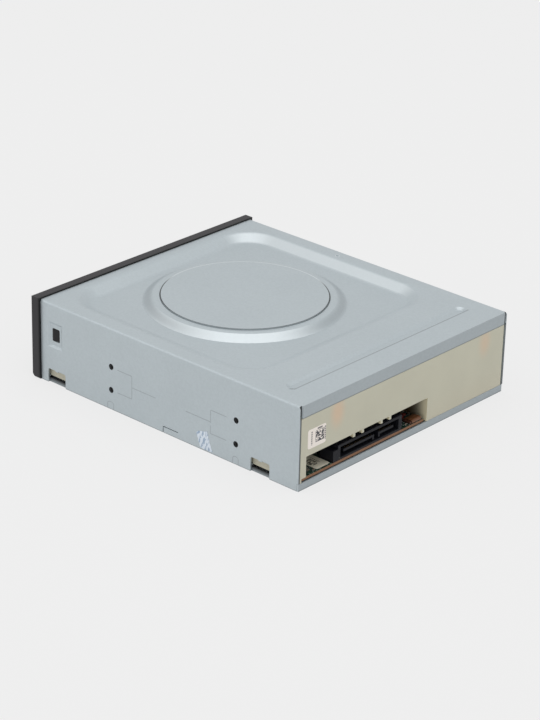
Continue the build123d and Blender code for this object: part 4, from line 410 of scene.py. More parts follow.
@dataclass(frozen=True)
class PressedCover(SheetSteel):
    """Sheet of the top cover, with painted highlights on slopes that face the light, painted shade on the
    ring's sides, the bead, the rear lip, the sides' foot and the corner slits, dark lines on the cut rear
    edges, and a dark seam round the roof's disc with a painted highlight on its far side.

    Places are in metres in the drive's own frame, and colours are from 0 to 1.
    """

    disc: Triple = (0.0, -0.0157, 0.0404)
    seam: float = 0.00034
    seam_and_shade_tone: Triple = (0.02, 0.022, 0.024)
    seam_shine: Triple = (0.70, 0.74, 0.76)
    slope: Pair = (0.0434, 0.0496)
    corner_way: Pair = (0.746, 0.666)
    stamping: Triple = (0.0705, 0.056, 0.075)
    rear: float = 0.0845
    roof: float = 0.0355
    lip_foot: Pair = (0.0353, 0.0357)
    lip_shade: float = 0.38
    slit: Pair = (0.0716, 0.0728)
    bead_line: Pair = (0.0708, 0.0616)
    bead_tip: float = 0.0696
    side: float = 0.0719
    pit: Triple = (-0.0676, -0.0162, 0.0009)
    painted_shade_tone: Triple = (0.22, 0.245, 0.26)
    gleam_tone: Triple = (0.80, 0.85, 0.87)

    def marked(self, graph: Graph, plain: Value) -> Value:
        """Colour with the seam, painted highlights on the slopes, painted shade on the ring's sides, the
        bead, the lip and the sides' foot, and dark cut edges.

        Args:
            graph: The material's graph.
            plain: The plain sheet's colour.

        Returns:
            The colour with its marks.
        """
        across, along, up = graph.axes()
        facing_right, facing_back, facing_up = graph.normals()
        sideways = abs(across)
        roof = up.above(self.roof)

        # Painted highlight on the slopes of the stamping that face the light, and on the rim of the small pit
        toward = (facing_right * 0.9 + facing_back * 0.5).ease(0.18, 0.46) * facing_up.above(0.6)
        margin, fading, behind = self.stamping
        stamped = sideways.below(margin) * (1.0 - along.above(fading) * 0.7) * along.below(behind)
        pit_x, pit_y, pit_radius = self.pit
        pit_rim = (across - pit_x).reach(along - pit_y).near(pit_radius, 0.0001, 0.0005)
        gleam = (toward * stamped).high(pit_rim) * roof * 0.5
        gleaming = graph.mix(gleam, plain, self.gleam_tone)

        # Ring slope round the disc with painted shade at its two sides, and the bead with painted shade along
        # its crease and darker at its tip
        centre_x, centre_y, radius = self.disc
        from_x, from_y = across - centre_x, along - centre_y
        reach = from_x.reach(from_y)
        way_x, way_y = self.corner_way
        beside = abs(from_x * way_y - from_y * way_x) / reach
        inner, outer = self.slope
        side_shade = reach.near((inner + outer) / 2, 0.0004, (outer - inner) / 2) * beside.ease(0.3, 1.0)
        side_shaded = graph.mix(side_shade * roof * 0.32, gleaming, self.painted_shade_tone)
        # Painted shade in the bead's crease and a dark painted spot at its tip
        line, end = self.bead_line
        bead = along.near(line, 0.0001, 0.0007) * sideways.below(end)
        tip = 1.0 - (across - end).reach(along - self.bead_tip).ease(0.0004, 0.0018)
        crease_shaded = graph.mix(bead.high(tip * 0.9) * roof * 0.6, side_shaded, self.painted_shade_tone)

        # Painted shade on the rear lip, with a darker painted line at its foot
        rearward = facing_back.ease(0.5, 0.95)
        lip = rearward * along.above(self.rear - 0.002)
        foot_line = (1.0 - up.ease(*self.lip_foot)) * 0.45 + self.lip_shade
        lipped = graph.mix(lip * foot_line, crease_shaded, self.painted_shade_tone)
        # Dark lines on the sides' cut rear edges, and painted shade along the sides' foot
        edge = rearward * along.above(self.rear - 0.0005) * sideways.above(self.side)
        foot = (1.0 - up.ease(0.0001, 0.00045)) * sideways.above(self.side + 0.0001)
        shaded = graph.mix(edge.high(foot) * 0.5, lipped, self.seam_and_shade_tone)
        # The slits at the rear corners painted near-black as a gap in shade
        near_slit, far_slit = self.slit
        slit = along.above(self.rear - 0.0003) * sideways.above(near_slit) * sideways.below(far_slit)
        rimmed = graph.mix(slit * up.above(self.roof - 0.0005) * 0.97, shaded, self.seam_and_shade_tone)

        # Seam of the disc: a painted highlight at the far side, and dark elsewhere for the cut step wall and
        # its painted shade
        seam = reach.near(radius, self.seam * 0.5, self.seam * 1.3) * roof * facing_up.ease(0.1, 0.5)
        homeward = (from_x * way_x + from_y * way_y) / reach
        seam_colour = graph.mix(homeward.ease(-0.55, -0.25), self.seam_shine, self.seam_and_shade_tone)
        return graph.mix(seam, rimmed, seam_colour)


@dataclass(frozen=True)
class FoldedBase(SheetSteel):
    """Sheet of the bottom cover, with painted shade where the side notches bare its bent edge and on its rear
    lip.
    """

    notches: tuple[Pair, ...] = ((-0.0750, -0.0626), (0.0561, 0.0681))
    edge: float = 0.0713
    lip_start: float = 0.083
    shade_tone: Triple = (0.035, 0.038, 0.04)
    lip_shade_tone: Triple = (0.30, 0.335, 0.355)

    def marked(self, graph: Graph, plain: Value) -> Value:
        """Colour with the painted shade in the notches and on the rear lip.

        Args:
            graph: The material's graph.
            plain: The plain sheet's colour.

        Returns:
            The colour with its shades.
        """
        across, along, up = graph.axes()
        _, facing_back, _ = graph.normals()
        # Painted shade on the rear-facing lip, darker in a line at its foot
        lip = facing_back.ease(0.5, 0.95) * along.above(self.lip_start)
        lipped = graph.mix(lip * 0.6, plain, self.lip_shade_tone)
        rimmed = graph.mix(lip * (1.0 - up.ease(0.0002, 0.0006)) * 0.5, lipped, self.shade_tone)
        # Painted shade on the edge bared by the notches, darker towards the top, with a thin light line left
        # at its top
        bared = abs(across).above(self.edge)
        inside = sum(along.above(front) * along.below(rear) for front, rear in self.notches)
        depth = (up.ease(0.0, 0.0022) * 0.55 + 0.45) * (1.0 - up.ease(0.0024, 0.00255))
        return graph.mix(inside * bared * depth, rimmed, self.shade_tone)


@dataclass(frozen=True)
class Moulded(Finish):
    """Moulded plastic with a fine spark-eroded texture."""

    texture: float = 0.00035
    relief: float = 0.00002
    variation: float = 0.12
    gloss: float = 0.5

    def paint(self, graph: Graph) -> None:
        """Fills the material.

        Args:
            graph: The material's graph.
        """
        texture = graph.noise(self.texture, 4.0)
        graph.set(
            Base_Color=self.with_painted_light(graph, self.shade(graph, self.variation, graph.noise(0.02, 2.0))),
            Roughness=(texture - 0.5) * 0.2 + self.roughness,
            Specular_IOR_Level=self.gloss,
            Normal=graph.bump(texture, self.relief),
        )

    def with_painted_light(self, graph: Graph, plain: Value) -> Value:
        """Colour with painted light and shade, where the plastic has any.

        Args:
            graph: The material's graph.
            plain: The plain plastic's colour.

        Returns:
            The tinted colour.
        """
        return plain


@dataclass(frozen=True)
class CreamFrame(Moulded):
    """Slightly translucent cream plastic, with a painted glow where light comes through its rear wall."""

    glow: Triple = (0.70, 0.47, 0.31)
    inside: Triple = (0.105, 0.07, 0.032)
    through: Triple = (0.98, 0.89, 0.62)
    deep: Triple = (0.02, 0.018, 0.014)
    holes: tuple[Pair, ...] = (
        (-0.032, 0.01), (-0.032, 0.0218), (0.0473, 0.01), (0.0473, 0.0218),
    )
    patches: tuple[tuple[float, float, float, float], ...] = (
        (0.048, 0.0305, 0.0045, 0.62), (-0.057, 0.0305, 0.0042, 0.45),
    )
    window: Triple = (0.026, 0.044, 0.0158)

    def with_painted_light(self, graph: Graph, plain: Value) -> Value:
        """Colour with painted glow where light comes through, painted shade deep inside the window with
        painted light at its mouth, and painted shade behind the side holes.

        Args:
            graph: The material's graph.
            plain: The plain plastic's colour.

        Returns:
            The tinted colour.
        """
        across, along, up = graph.axes()
        facing_side, _, _ = graph.normals()
        # Painted glow in patches on the rear wall, and faintly towards the bottom
        warm = up.ease(0.018, 0.002) * 0.06
        for x, z, radius, strength in self.patches:
            reach = (across - x).reach((up - z) * 0.62)
            warm = warm + (1.0 - reach.ease(radius * 0.15, radius * 1.5)) * strength * along.above(0.08)
        warmed = graph.mix(warm, plain, self.glow)

        # Side faces of the window, with painted shade deep inside and painted light coming through at the
        # mouth
        middle, half_width, top = self.window
        jamb = abs(facing_side).above(0.7) * up.below(top) * abs(across - middle).below(half_width)
        depth = jamb * along.above(0.06) * (1.0 - along.ease(0.0735, 0.0848) * 0.97)
        lit = jamb * along.ease(0.0775, 0.085) * 0.85
        lined = graph.mix(lit, graph.mix(depth, warmed, self.inside), self.through)

        # Painted shade on the frame behind the side holes of the case
        shade = sum(1.0 - (along - y).reach(up - z).ease(0.0022, 0.0028) for y, z in self.holes)
        return graph.mix(shade * abs(across).above(0.064) * 0.92, lined, self.deep)


@dataclass(frozen=True)
class BezelPlastic(Moulded):
    """Bezel plastic, in shade along the edges of its top and beside the steel case."""

    band: Pair = (-0.0844, -0.0803)
    level: float = 0.0405
    side: float = 0.0728
    arms: float = -0.0792
    deep: Triple = (0.0035, 0.0035, 0.004)

    def with_painted_light(self, graph: Graph, plain: Value) -> Value:
        """Colour with painted shade: two dark lines along the top and the sides, and the darker snap arms.

        Args:
            graph: The material's graph.
            plain: The plain plastic's colour.

        Returns:
            The tinted colour.
        """
        across, along, up = graph.axes()
        front, rear = self.band
        # Painted shade along the top and sides and on the snap arms
        rim = up.above(self.level).high(abs(across).above(self.side))
        lines = along.below(front).high(along.above(rear)) * rim
        return graph.mix((lines * 0.85).high(along.above(self.arms) * 0.8), plain, self.deep)


@dataclass(frozen=True)
class CircuitBoard(Finish):
    """Board with a green lacquer over copper tracks, and a brown cut edge."""

    edge: Triple = (0.30, 0.15, 0.08)
    track: Triple = (0.03, 0.085, 0.06)
    print_tone: Triple = (0.33, 0.42, 0.37)
    via_tone: Triple = (0.30, 0.31, 0.26)

    def paint(self, graph: Graph) -> None:
        """Fills the material.

        Args:
            graph: The material's graph.
        """
        across, along, _ = graph.axes()
        bend = graph.noise(0.012, 1.0)
        lines = (across * 900.0 + bend * 7.0).fraction().near(0.5, 0.10, 0.16)
        cross_lines = (along * 800.0 + bend * 9.0).fraction().near(0.5, 0.10, 0.16)
        zone = graph.noise(0.006, 0.0).above(0.5)
        tracks = lines * zone + cross_lines * (1.0 - zone)
        vias = 1.0 - graph.cells(0.0028).ease(0.10, 0.14)
        lacquer = graph.mix(tracks.low(1.0), self.colour, self.track)
        dashes = (1.0 - (across * 420.0).fraction().ease(0.16, 0.2)) * (along * 610.0).fraction().below(0.45)
        printed = graph.mix(dashes * graph.noise(0.004, 0.0).above(0.5), lacquer, self.print_tone)
        top = graph.mix(vias, printed, self.via_tone)
        _, _, facing = graph.normals()
        cut = 1.0 - abs(facing).ease(0.4, 0.6)
        fibre = graph.noise(0.0002, 2.0, (0.2, 0.2, 4.0))
        cut_edge = graph.mix(fibre, self.edge, tuple(part * 0.6 for part in self.edge))
        graph.set(
            Base_Color=graph.mix(cut, top, cut_edge),
            Roughness=cut * 0.4 + 0.32,
            Normal=graph.bump(tracks, 0.00004),
        )


@dataclass(frozen=True)
class Plated(Finish):
    """Bright or plated metal with fine turning marks."""

    metal: float = 1.0

    def paint(self, graph: Graph) -> None:
        """Fills the material.

        Args:
            graph: The material's graph.
        """
        marks = graph.noise(0.00015, 3.0)
        graph.set(
            Base_Color=self.shade(graph, 0.25, graph.noise(0.004, 2.0)),
            Metallic=self.metal,
            Roughness=(marks - 0.5) * 0.2 + self.roughness,
            Normal=graph.bump(marks, 0.000004),
        )


@dataclass(frozen=True)
class ClearPlastic(Finish):
    """Clear or coated optical plastic."""

    passes: float = 0.85

    def paint(self, graph: Graph) -> None:
        """Fills the material.

        Args:
            graph: The material's graph.
        """
        haze = graph.noise(0.002, 2.0)
        graph.set(
            Base_Color=self.shade(graph, 0.08, haze),
            Transmission_Weight=self.passes,
            Roughness=haze * 0.08 + self.roughness,
        )


class Pattern(Enum):
    """Plain patterns that a paper label may carry."""

    SQUARES = "squares"
    STREAKS = "streaks"


@dataclass(frozen=True)
class PaperLabel(Finish):
    """Paper with a plain generic pattern."""

    pattern: Pattern = Pattern.SQUARES
    centre: Pair = (0.0, 0.0)
    size: float = 0.005
    cell: float = 0.00042
    columns: Pair = (0.0053, -0.0036)
    bar_half: float = 0.00042
    dash_step: float = 0.00105
    ink: Triple = (0.05, 0.05, 0.06)
    lying: bool = False

    def paint(self, graph: Graph) -> None:
        """Fills the material.

        Args:
            graph: The material's graph.
        """
        fibre = graph.noise(0.0003, 3.0)
        paper = self.shade(graph, 0.08, fibre)
        masks = {Pattern.SQUARES: self.squares, Pattern.STREAKS: self.streaks}
        mask = masks[self.pattern](graph)
        graph.set(
            Base_Color=graph.mix(mask, paper, self.ink),
            Roughness=self.roughness,
            Normal=graph.bump(fibre, 0.00001),
        )

    def squares(self, graph: Graph) -> Value:
        """A field of random small squares with a bar of dashes at each side.

        Args:
            graph: The material's graph.

        Returns:
            Where there is ink, from 0 to 1.
        """
        across, along, up = graph.axes()
        x = across - self.centre[0]
        z = (along if self.lying else up) - self.centre[1]
        grid = graph.node("ShaderNodeCombineXYZ", {}, {"X": x / self.cell, "Y": z / self.cell})
        whole = graph.node("ShaderNodeVectorMath", {"operation": "FLOOR"}, {0: grid})
        chance = graph.node("ShaderNodeTexWhiteNoise", {"noise_dimensions": "2D"}, {"Vector": whole})
        inside = abs(x).below(self.size / 2) * abs(z).below(self.size / 2)
        beside = sum(abs(x - column).below(self.bar_half) for column in self.columns)
        dashes = (z / self.dash_step).fraction().above(0.35) * abs(z).below(self.size * 0.6)
        over = abs(z - self.size * 0.62).below(0.0004) * abs(x).below(self.size * 0.28)
        off_line = abs(x + self.size * 0.46).above(0.00022) * abs(z + self.size * 0.46).above(0.00022)
        block = chance.above(0.44).high(1.0 - off_line) * inside
        return (block + beside * dashes * 0.85 + over * 0.85).low(1.0)

    def streaks(self, graph: Graph) -> Value:
        """Rubbed slanting streaks of pale print.

        Args:
            graph: The material's graph.

        Returns:
            Where there is ink, from 0 to 1.
        """
        _, along, up = graph.axes()
        slant = along * 0.42 + up
        side = along - up * 0.42
        wave = graph.noise(0.003, 2.0)
        stripe = (side * 420.0 + wave * 1.4).fraction().near(0.5, 0.14, 0.30)
        rubbed = graph.noise(0.0012, 2.0, (1.0, 1.0, 0.6))
        dark = stripe * rubbed.ease(0.38, 0.56)
        return (dark * 0.95 + slant.ease(0.010, 0.000) * 0.1).low(1.0)


STEEL = FoldedBase("base steel", (0.54, 0.601, 0.63), 0.44)
COVER_STEEL = PressedCover("pressed cover steel", (0.54, 0.601, 0.63), 0.44)
INNER_STEEL = SheetSteel("inner steel", (0.46, 0.48, 0.49), 0.45)
BLACK = BezelPlastic("bezel black", (0.0235, 0.022, 0.0255), 0.45, gloss=0.36)
DARK = Moulded("tray black", (0.018, 0.018, 0.020), 0.5, 0.0005)
CONNECTOR = Moulded("connector black", (0.006, 0.0062, 0.0105), 0.6, 0.0006, gloss=0.28)
WHITE = Moulded("white gear plastic", (0.62, 0.62, 0.58), 0.35, 0.0006)
CREAM = CreamFrame("cream frame", (0.575, 0.56, 0.445), 0.45)
RUBBER = Moulded("rubber", (0.020, 0.020, 0.020), 0.75, 0.0004)
CHIP = Moulded("chip black", (0.025, 0.025, 0.027), 0.5, 0.0002)
BOARD = CircuitBoard("circuit board", (0.006, 0.024, 0.017), 0.35)
SCREW = Plated("plated screw", (0.55, 0.56, 0.56), 0.3)
ROD = Plated("ground rod", (0.62, 0.62, 0.62), 0.15)
CASTING = Plated("die casting", (0.42, 0.42, 0.42), 0.5)
CONTACT = Plated("gold contact", (0.75, 0.52, 0.20), 0.25)
SOLDER = Plated("solder", (0.55, 0.56, 0.56), 0.35, 0.9)
CLEAR = ClearPlastic("clear plastic", (0.80, 0.84, 0.80), 0.1)
LENS_GLASS = ClearPlastic("coated lens", (0.45, 0.60, 0.75), 0.02, 0.5)
RIBBON = Moulded("ribbon white", (0.66, 0.66, 0.62), 0.45)
AMBER = Moulded("amber film", (0.19, 0.072, 0.028), 0.35, 0.0008, 0.00004, 0.45)
SOCKET_BROWN = Moulded("socket brown", (0.085, 0.03, 0.018), 0.4, 0.0005)
RED_LACQUER = Moulded("red lacquer", (0.13, 0.02, 0.015), 0.35, 0.0006)
CERAMIC = Moulded("chip ceramic", (0.20, 0.14, 0.09), 0.4, 0.0003)
# Threads and floors of the holes, near-black as painted shade inside the holes
HOLE_SHADE = Plated("threaded hole shade", (0.035, 0.035, 0.037), 0.35, 0.5)
RECESS_DARK = Moulded("recess shade", (0.015, 0.015, 0.016), 0.6, 0.0003)
# Darker steel of the pressed lines: painted shade in the lines
PRESSED_LINE_SHADE = SheetSteel("pressed line shade", (0.42, 0.463, 0.49), 0.5)
CODE_PAPER = PaperLabel(
    "label paper", (0.93, 0.86, 0.80), 0.55, Pattern.SQUARES, (0.0597, 0.0236), 0.0057, 0.00052
)
BOARD_PAPER = PaperLabel(
    "board label paper", (0.84, 0.80, 0.66), 0.55, Pattern.SQUARES, (0.0560, 0.0768), 0.0046, 0.00058,
    columns=(0.0034, -0.0032), ink=(0.16, 0.15, 0.12), lying=True,
)
TORN_PAPER = PaperLabel(
    "torn paper", (0.78, 0.85, 0.93), 0.5, Pattern.STREAKS, ink=(0.33, 0.43, 0.56)
)

NODE_FINISHES = {
    COVER_STEEL: ("top_cover",),
    STEEL: ("bottom_cover",),
    INNER_STEEL: (
        "clamp_bracket", "clamp_yoke", "deck_plate", "spindle_base", "loading_motor", "sled_motor",
        "pickup_cover",
    ),
    BLACK: ("front_bezel", "tray_door", "eject_button"),
    DARK: ("disc_tray", "lift_frame", "rod_holders", "turntable", "lens_carrier"),
    CONNECTOR: ("sata_connector", "eject_switch"),
    WHITE: ("drive_gear", "pulley_gear", "motor_pulley", "lift_cam", "disc_clamp", "sled_nut"),
    SOCKET_BROWN: ("flex_sockets",),
    CREAM: ("loader_frame",),
    RUBBER: ("rubber_dampers", "drive_belt", "turntable_pad"),
    CHIP: ("controller_chip", "driver_chip", "memory_chip", "capacitors"),
    BOARD: ("main_board", "front_board"),
    SCREW: ("cover_screws", "damper_screws", "bracket_screws", "board_screws"),
    ROD: ("guide_rods", "lead_screw"),
    CASTING: ("pickup_body",),
    CONTACT: ("sata_contacts",),
    CLEAR: ("light_pipe", "status_light"),
    LENS_GLASS: ("objective_lens",),
    RIBBON: ("front_ribbon",),
}


def dress_nodes() -> None:
    """Gives every carried-over piece of the frame its finish."""
    for finish, names in NODE_FINISHES.items():
        for name in names:
            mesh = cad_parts[name].data
            mesh.materials.clear()
            mesh.materials.append(finish.material())
            LOG.info("dressed %s with %s", name, finish.name)


@dataclass(frozen=True)
class Wall:
    """A flat side of the drive: an origin and the directions across and up, all in millimetres."""

    origin: Triple
    across: Triple
    up: Triple

    def spot(self, across: float, up: float, out: float = 0.0) -> Vector:
        """A point on or in front of the wall.

        Args:
            across: Distance along the wall.
            up: Distance up the wall.
            out: Distance in front of it.

        Returns:
            The point in the drive's own frame.
        """
        sideways = Vector(self.across)
        upward = Vector(self.up)
        return Vector(self.origin) + across * sideways + up * upward + out * sideways.cross(upward)


RIGHT_WALL = Wall((73.0, 0.0, 0.0), (0.0, 1.0, 0.0), (0.0, 0.0, 1.0))
LEFT_WALL = Wall((-73.0, 0.0, 0.0), (0.0, -1.0, 0.0), (0.0, 0.0, 1.0))
REAR_WALL = Wall((0.0, 85.0, 0.0), (-1.0, 0.0, 0.0), (0.0, 0.0, 1.0))
UNDERSIDE = Wall((0.0, 0.0, 0.0), (1.0, 0.0, 0.0), (0.0, -1.0, 0.0))
BOARD_TOP = Wall((0.0, 0.0, 5.5), (1.0, 0.0, 0.0), (0.0, 1.0, 0.0))


def rounded(width: float, height: float, radius: float, steps: int = 4) -> list[Pair]:
    """Outline of a rounded rectangle about the origin.

    Args:
        width: Its width.
        height: Its height.
        radius: Its corner radius.
        steps: Steps in each corner.

    Returns:
        The outline's points in order.
    """
    outline = []
    corners = ((1, 1, 0), (-1, 1, 90), (-1, -1, 180), (1, -1, 270))
    for side, level, start in corners:
        for step in range(steps + 1):
            angle = math.radians(start + 90 * step / steps)
            x = side * (width / 2 - radius) + radius * math.cos(angle)
            y = level * (height / 2 - radius) + radius * math.sin(angle)
            outline.append((x, y))
    return outline


def circle(radius: float, steps: int) -> list[Pair]:
    """Outline of a circle about the origin."""
    turns = [2 * math.pi * step / steps for step in range(steps)]
    return [(radius * math.cos(turn), radius * math.sin(turn)) for turn in turns]


def shrunk(outline: list[Pair], amount: float) -> list[Pair]:
    """The outline drawn in on all sides.

    Args:
        outline: The outline's points.
        amount: How far each side moves in.

    Returns:
        The smaller outline.
    """
    xs = [x for x, _ in outline]
    ys = [y for _, y in outline]
    middle = ((max(xs) + min(xs)) / 2, (max(ys) + min(ys)) / 2)
    shares = [1 - 2 * amount / max(max(line) - min(line), 4 * amount) for line in (xs, ys)]
    return [
        (middle[0] + (x - middle[0]) * shares[0], middle[1] + (y - middle[1]) * shares[1])
        for x, y in outline
    ]


class Form:
    """Mesh of one piece while it is made, in millimetres in the drive's own frame."""

    def __init__(self) -> None:
        """Starts an empty mesh."""
        self.points: list[Vector] = []
        self.faces: list[tuple[int, ...]] = []
        self.paints: list[int] = []

    def skin(
        self, rings: list[list[Vector]], closed: bool = True, capped: bool = True, paint: int = 0,
    ) -> None:
        """Joins rings of points with faces.

        Args:
            rings: Rings with equally many points.
            closed: Whether each ring's last point joins its first.
            capped: Whether the first and last rings are filled.
            paint: Which of the piece's finishes the faces take.
        """
        count = len(rings[0])
        base = len(self.points)
        for ring in rings:
            self.points.extend(ring)
        for span in range(len(rings) - 1):
            here = base + span * count
            there = here + count
            for step in range(count if closed else count - 1):
                after = (step + 1) % count
                self.faces.append((here + step, here + after, there + after, there + step))
                self.paints.append(paint)
        if capped:
            self.faces.append(tuple(base + step for step in range(count)))
            last = base + (len(rings) - 1) * count
            self.faces.append(tuple(last + step for step in range(count)))
            self.paints.extend((paint, paint))

    def plate(
        self, wall: Wall, centre: Pair, outline: list[Pair], base: float, top: float, bevel: float,
        paint: int = 0,
    ) -> None:
        """Flat piece on a wall with a bevelled rim.

        Args:
            wall: The wall.
            centre: Where the outline's origin lies on it.
            outline: The piece's outline.
            base: Height of its foot above the wall.
            top: Height of its face above the wall.
            bevel: Width of the rim's bevel.
            paint: Which of the piece's finishes the faces take.
        """
        across, up = centre
        levels = ((outline, base), (outline, top - bevel), (shrunk(outline, bevel), top))
        rings = [[wall.spot(across + x, up + y, out) for x, y in line] for line, out in levels]
        self.skin(rings, paint=paint)

    def turned(
        self, wall: Wall, centre: Pair, profile: list[Pair], steps: int = 24,
    ) -> None:
        """Round piece whose axis stands on a wall.

        Args:
            wall: The wall.
            centre: Where the axis meets it.
            profile: Pairs of radius and height above the wall.
            steps: Steps round the axis.
        """
        across, up = centre
        rings = [
            [wall.spot(across + x, up + y, out) for x, y in circle(radius, steps)]
            for radius, out in profile
        ]
        self.skin(rings)

    def groove(self, wall: Wall, points: list[Pair], width: float, rise: float) -> None:
        """Pressed line on a wall: two low ridges with a hollow between them.

        Args:
            wall: The wall.
            points: The line's corners.
            width: Its width.
            rise: Height of its ridges.
        """
        section = ((-0.5, 0.0), (-0.3, 1.0), (0.0, 0.15), (0.3, 1.0), (0.5, 0.0))
        clear = 0.004
        rings = []
        for place, (x, y) in enumerate(points):
            before = points[max(place - 1, 0)]
            after = points[min(place + 1, len(points) - 1)]
            run = Vector((after[0] - before[0], after[1] - before[1])).normalized()
            rings.append([
                wall.spot(x - run.y * width * share, y + run.x * width * share, rise * level + clear)
                for share, level in section
            ])
        self.skin(rings, closed=False, capped=False)

    def thread(
        self, wall: Wall, centre: Pair, radius: float, ends: Pair, pitch: float, depth: float,
        steps: int = 14,
    ) -> None:
        """Screw thread: a ridge that winds round an axis.

        Args:
            wall: The wall that the axis stands on.
            centre: Where the axis meets it.
            radius: Radius of the ridge's foot.
            ends: Heights above the wall between which it winds.
            pitch: Rise in one turn.
            depth: Height of the ridge, below nought where it points inwards.
            steps: Steps in one turn.
        """
        across, up = centre
        total = round((ends[1] - ends[0]) / pitch * steps)
        rings = []
        for step in range(total + 1):
            turn = 2 * math.pi * step / steps
            height = ends[0] + pitch * step / steps
            lean = min(step, total - step, steps // 2) / (steps // 2)
            corners = ((radius, -pitch * 0.45), (radius + depth * lean, 0.0), (radius, pitch * 0.45))
            rings.append([
                wall.spot(across + reach * math.cos(turn), up + reach * math.sin(turn), height + shift)
                for reach, shift in corners
            ])
        self.skin(rings)

    def bar(self, points: list[Vector], radius: float, steps: int) -> None:
        """Round bar along a line of points.

        Args:
            points: The line.
            radius: The bar's radius.
            steps: Steps round it.
        """
        rings = []
        for place, point in enumerate(points):
            run = points[min(place + 1, len(points) - 1)] - points[max(place - 1, 0)]
            turn = run.to_track_quat("Z", "Y").to_matrix()
            rings.append([point + turn @ Vector((x, y, 0.0)) for x, y in circle(radius, steps)])
        self.skin(rings)

    def stand(
        self, name: str, body: Body, finishes: list[Finish], smooth: float = 35.0,
        nodes: tuple[str, ...] = (),
    ) -> None:
        """Turns the mesh into a piece that rides on a body.

        Args:
            name: The piece's name.
            body: The body that it rides on.
            finishes: Its finishes, in the order of the faces' paints.
            smooth: Angle in degrees up to which edges are smooth.
            nodes: Nodes of the frame that it stands for.
        """
        mesh = bpy.data.meshes.new(name)
        mesh.from_pydata([point * MM for point in self.points], [], self.faces)
        for finish in finishes:
            mesh.materials.append(finish.material())
        for face, paint in zip(mesh.polygons, self.paints):
            face.material_index = paint
        shape = bmesh.new()
        shape.from_mesh(mesh)
        bmesh.ops.recalc_face_normals(shape, faces=shape.faces)
        shape.to_mesh(mesh)
        shape.free()
        mesh.polygons.foreach_set("use_smooth", [True] * len(mesh.polygons))
        mesh.set_sharp_from_angle(angle=math.radians(smooth))
        piece = bpy.data.objects.new(name, mesh)
        bpy.context.scene.collection.objects.link(piece)
        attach(piece, body.value)
        if nodes:
            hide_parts(*nodes)
        LOG.info("%s: %d faces on %s", name, len(mesh.polygons), body.value)


@dataclass
class CaseMarks:
    """Pressed lines, threaded holes and notches of the folded case."""

    hole_places: tuple[Pair, ...] = ((-32.0, 10.0), (-32.0, 21.84), (47.25, 10.0), (47.25, 21.84))
    bottom_x: float = 69.85
    hole: float = 1.5
    depth: float = 1.75
    thread_pitch: float = 0.5
    thread_height: float = 0.24
    line: float = 0.42
    rise: float = 0.035
    brackets: tuple[tuple[Pair, Pair], ...] = (
        ((-27.9, 21.5), (-18.5, 21.5)),
        ((-18.4, 21.6), (-18.4, 9.8)),
        ((-27.9, 9.9), (-18.5, 9.9)),
        ((-18.2, 15.7), (-2.9, 15.7)),
        ((16.1, 15.7), (31.4, 15.7)),
        ((31.6, 21.6), (31.6, 15.1)),
        ((31.6, 13.9), (31.6, 9.8)),
        ((31.8, 21.6), (41.4, 21.6)),
        ((31.8, 9.9), (41.4, 9.9)),
    )
    arches: tuple[Pair, ...] = ((-32.4, 2.0), (47.3, 1.7))
    arch_foot: float = 0.3
    arch_shoulder: float = 2.8
    arch_crown: float = 1.1
    notches: tuple[Pair, ...] = ((-74.7, -62.9), (56.4, 68.2))
    foot: Pair = (2.95, 4.3)
    foot_face: Pair = (-3.0, -1.75)
    foot_overlap: float = 0.3

    def build(self) -> None:
        """Makes the case's marks."""
        self.build_lines()
        self.build_threads()
        self.build_notch_feet()

    def build_lines(self) -> None:
        """Brackets round the screw places of both sides and the punch marks under them, in darker steel as
        painted shade.
        """
        lines = [(line, self.rise) for line in self.brackets]
        lines += [(self.arch(centre, half), self.rise * 0.6) for centre, half in self.arches]
        for name, wall, way in (("right", RIGHT_WALL, 1), ("left", LEFT_WALL, -1)):
            form = Form()
            for line, rise in lines:
                form.groove(wall, [(way * along, up) for along, up in line], self.line, rise)
            form.stand(f"pressed_lines_{name}", Body.CASE, [PRESSED_LINE_SHADE], 80.0)

    def arch(self, centre: float, half: float) -> list[Pair]:
        """Line of a punch mark: two upright legs and a low arch.

        Args:
            centre: Middle of the mark along the wall.
            half: Half of its width.

        Returns:
            The line's corners.
        """
        shoulder = self.arch_shoulder
        turns = [math.radians(turn) for turn in (30, 60, 90, 120, 150)]
        crown = [
            (centre - half * math.cos(turn), shoulder + self.arch_crown * math.sin(turn)) for turn in turns
        ]
        left, right = centre - half, centre + half
        return [(left, self.arch_foot), (left, shoulder), *crown, (right, shoulder), (right, self.arch_foot)]

    def build_threads(self) -> None:
        """Threads in the side and bottom holes, each with a round floor behind it, both near-black as painted
        shade.
        """
        places = [
            (wall, (way * along, up))
            for wall, way in ((RIGHT_WALL, 1), (LEFT_WALL, -1))
            for along, up in self.hole_places
        ]
        bottom_rows = sorted({along for along, _ in self.hole_places})
        places += [(UNDERSIDE, (side * self.bottom_x, -along)) for side in (1, -1) for along in bottom_rows]
        form = Form()
        floor = self.hole - 0.02
        for wall, centre in places:
            ends = (-self.depth, -0.35)
            form.thread(wall, centre, self.hole - 0.01, ends, self.thread_pitch, -self.thread_height)
            form.turned(wall, centre, [(floor, -self.depth - 0.3), (floor, -self.depth - 0.2)])
        form.stand("mount_hole_threads", Body.CASE, [HOLE_SHADE], 60.0)

    def build_notch_feet(self) -> None:
        """Foot of the moulded frame, which shows in the case's side notches."""
        low, high = self.foot
        form = Form()
        for wall, way in ((RIGHT_WALL, 1), (LEFT_WALL, -1)):
            for front, rear in self.notches:
                centre = (way * (front + rear) / 2, (low + high) / 2)
                outline = rounded(rear - front + 2 * self.foot_overlap, high - low, 0.1, 1)
                form.plate(wall, centre, outline, *self.foot_face, 0.05)
        form.stand("notch_foot_ribs", Body.CASE, [CREAM])


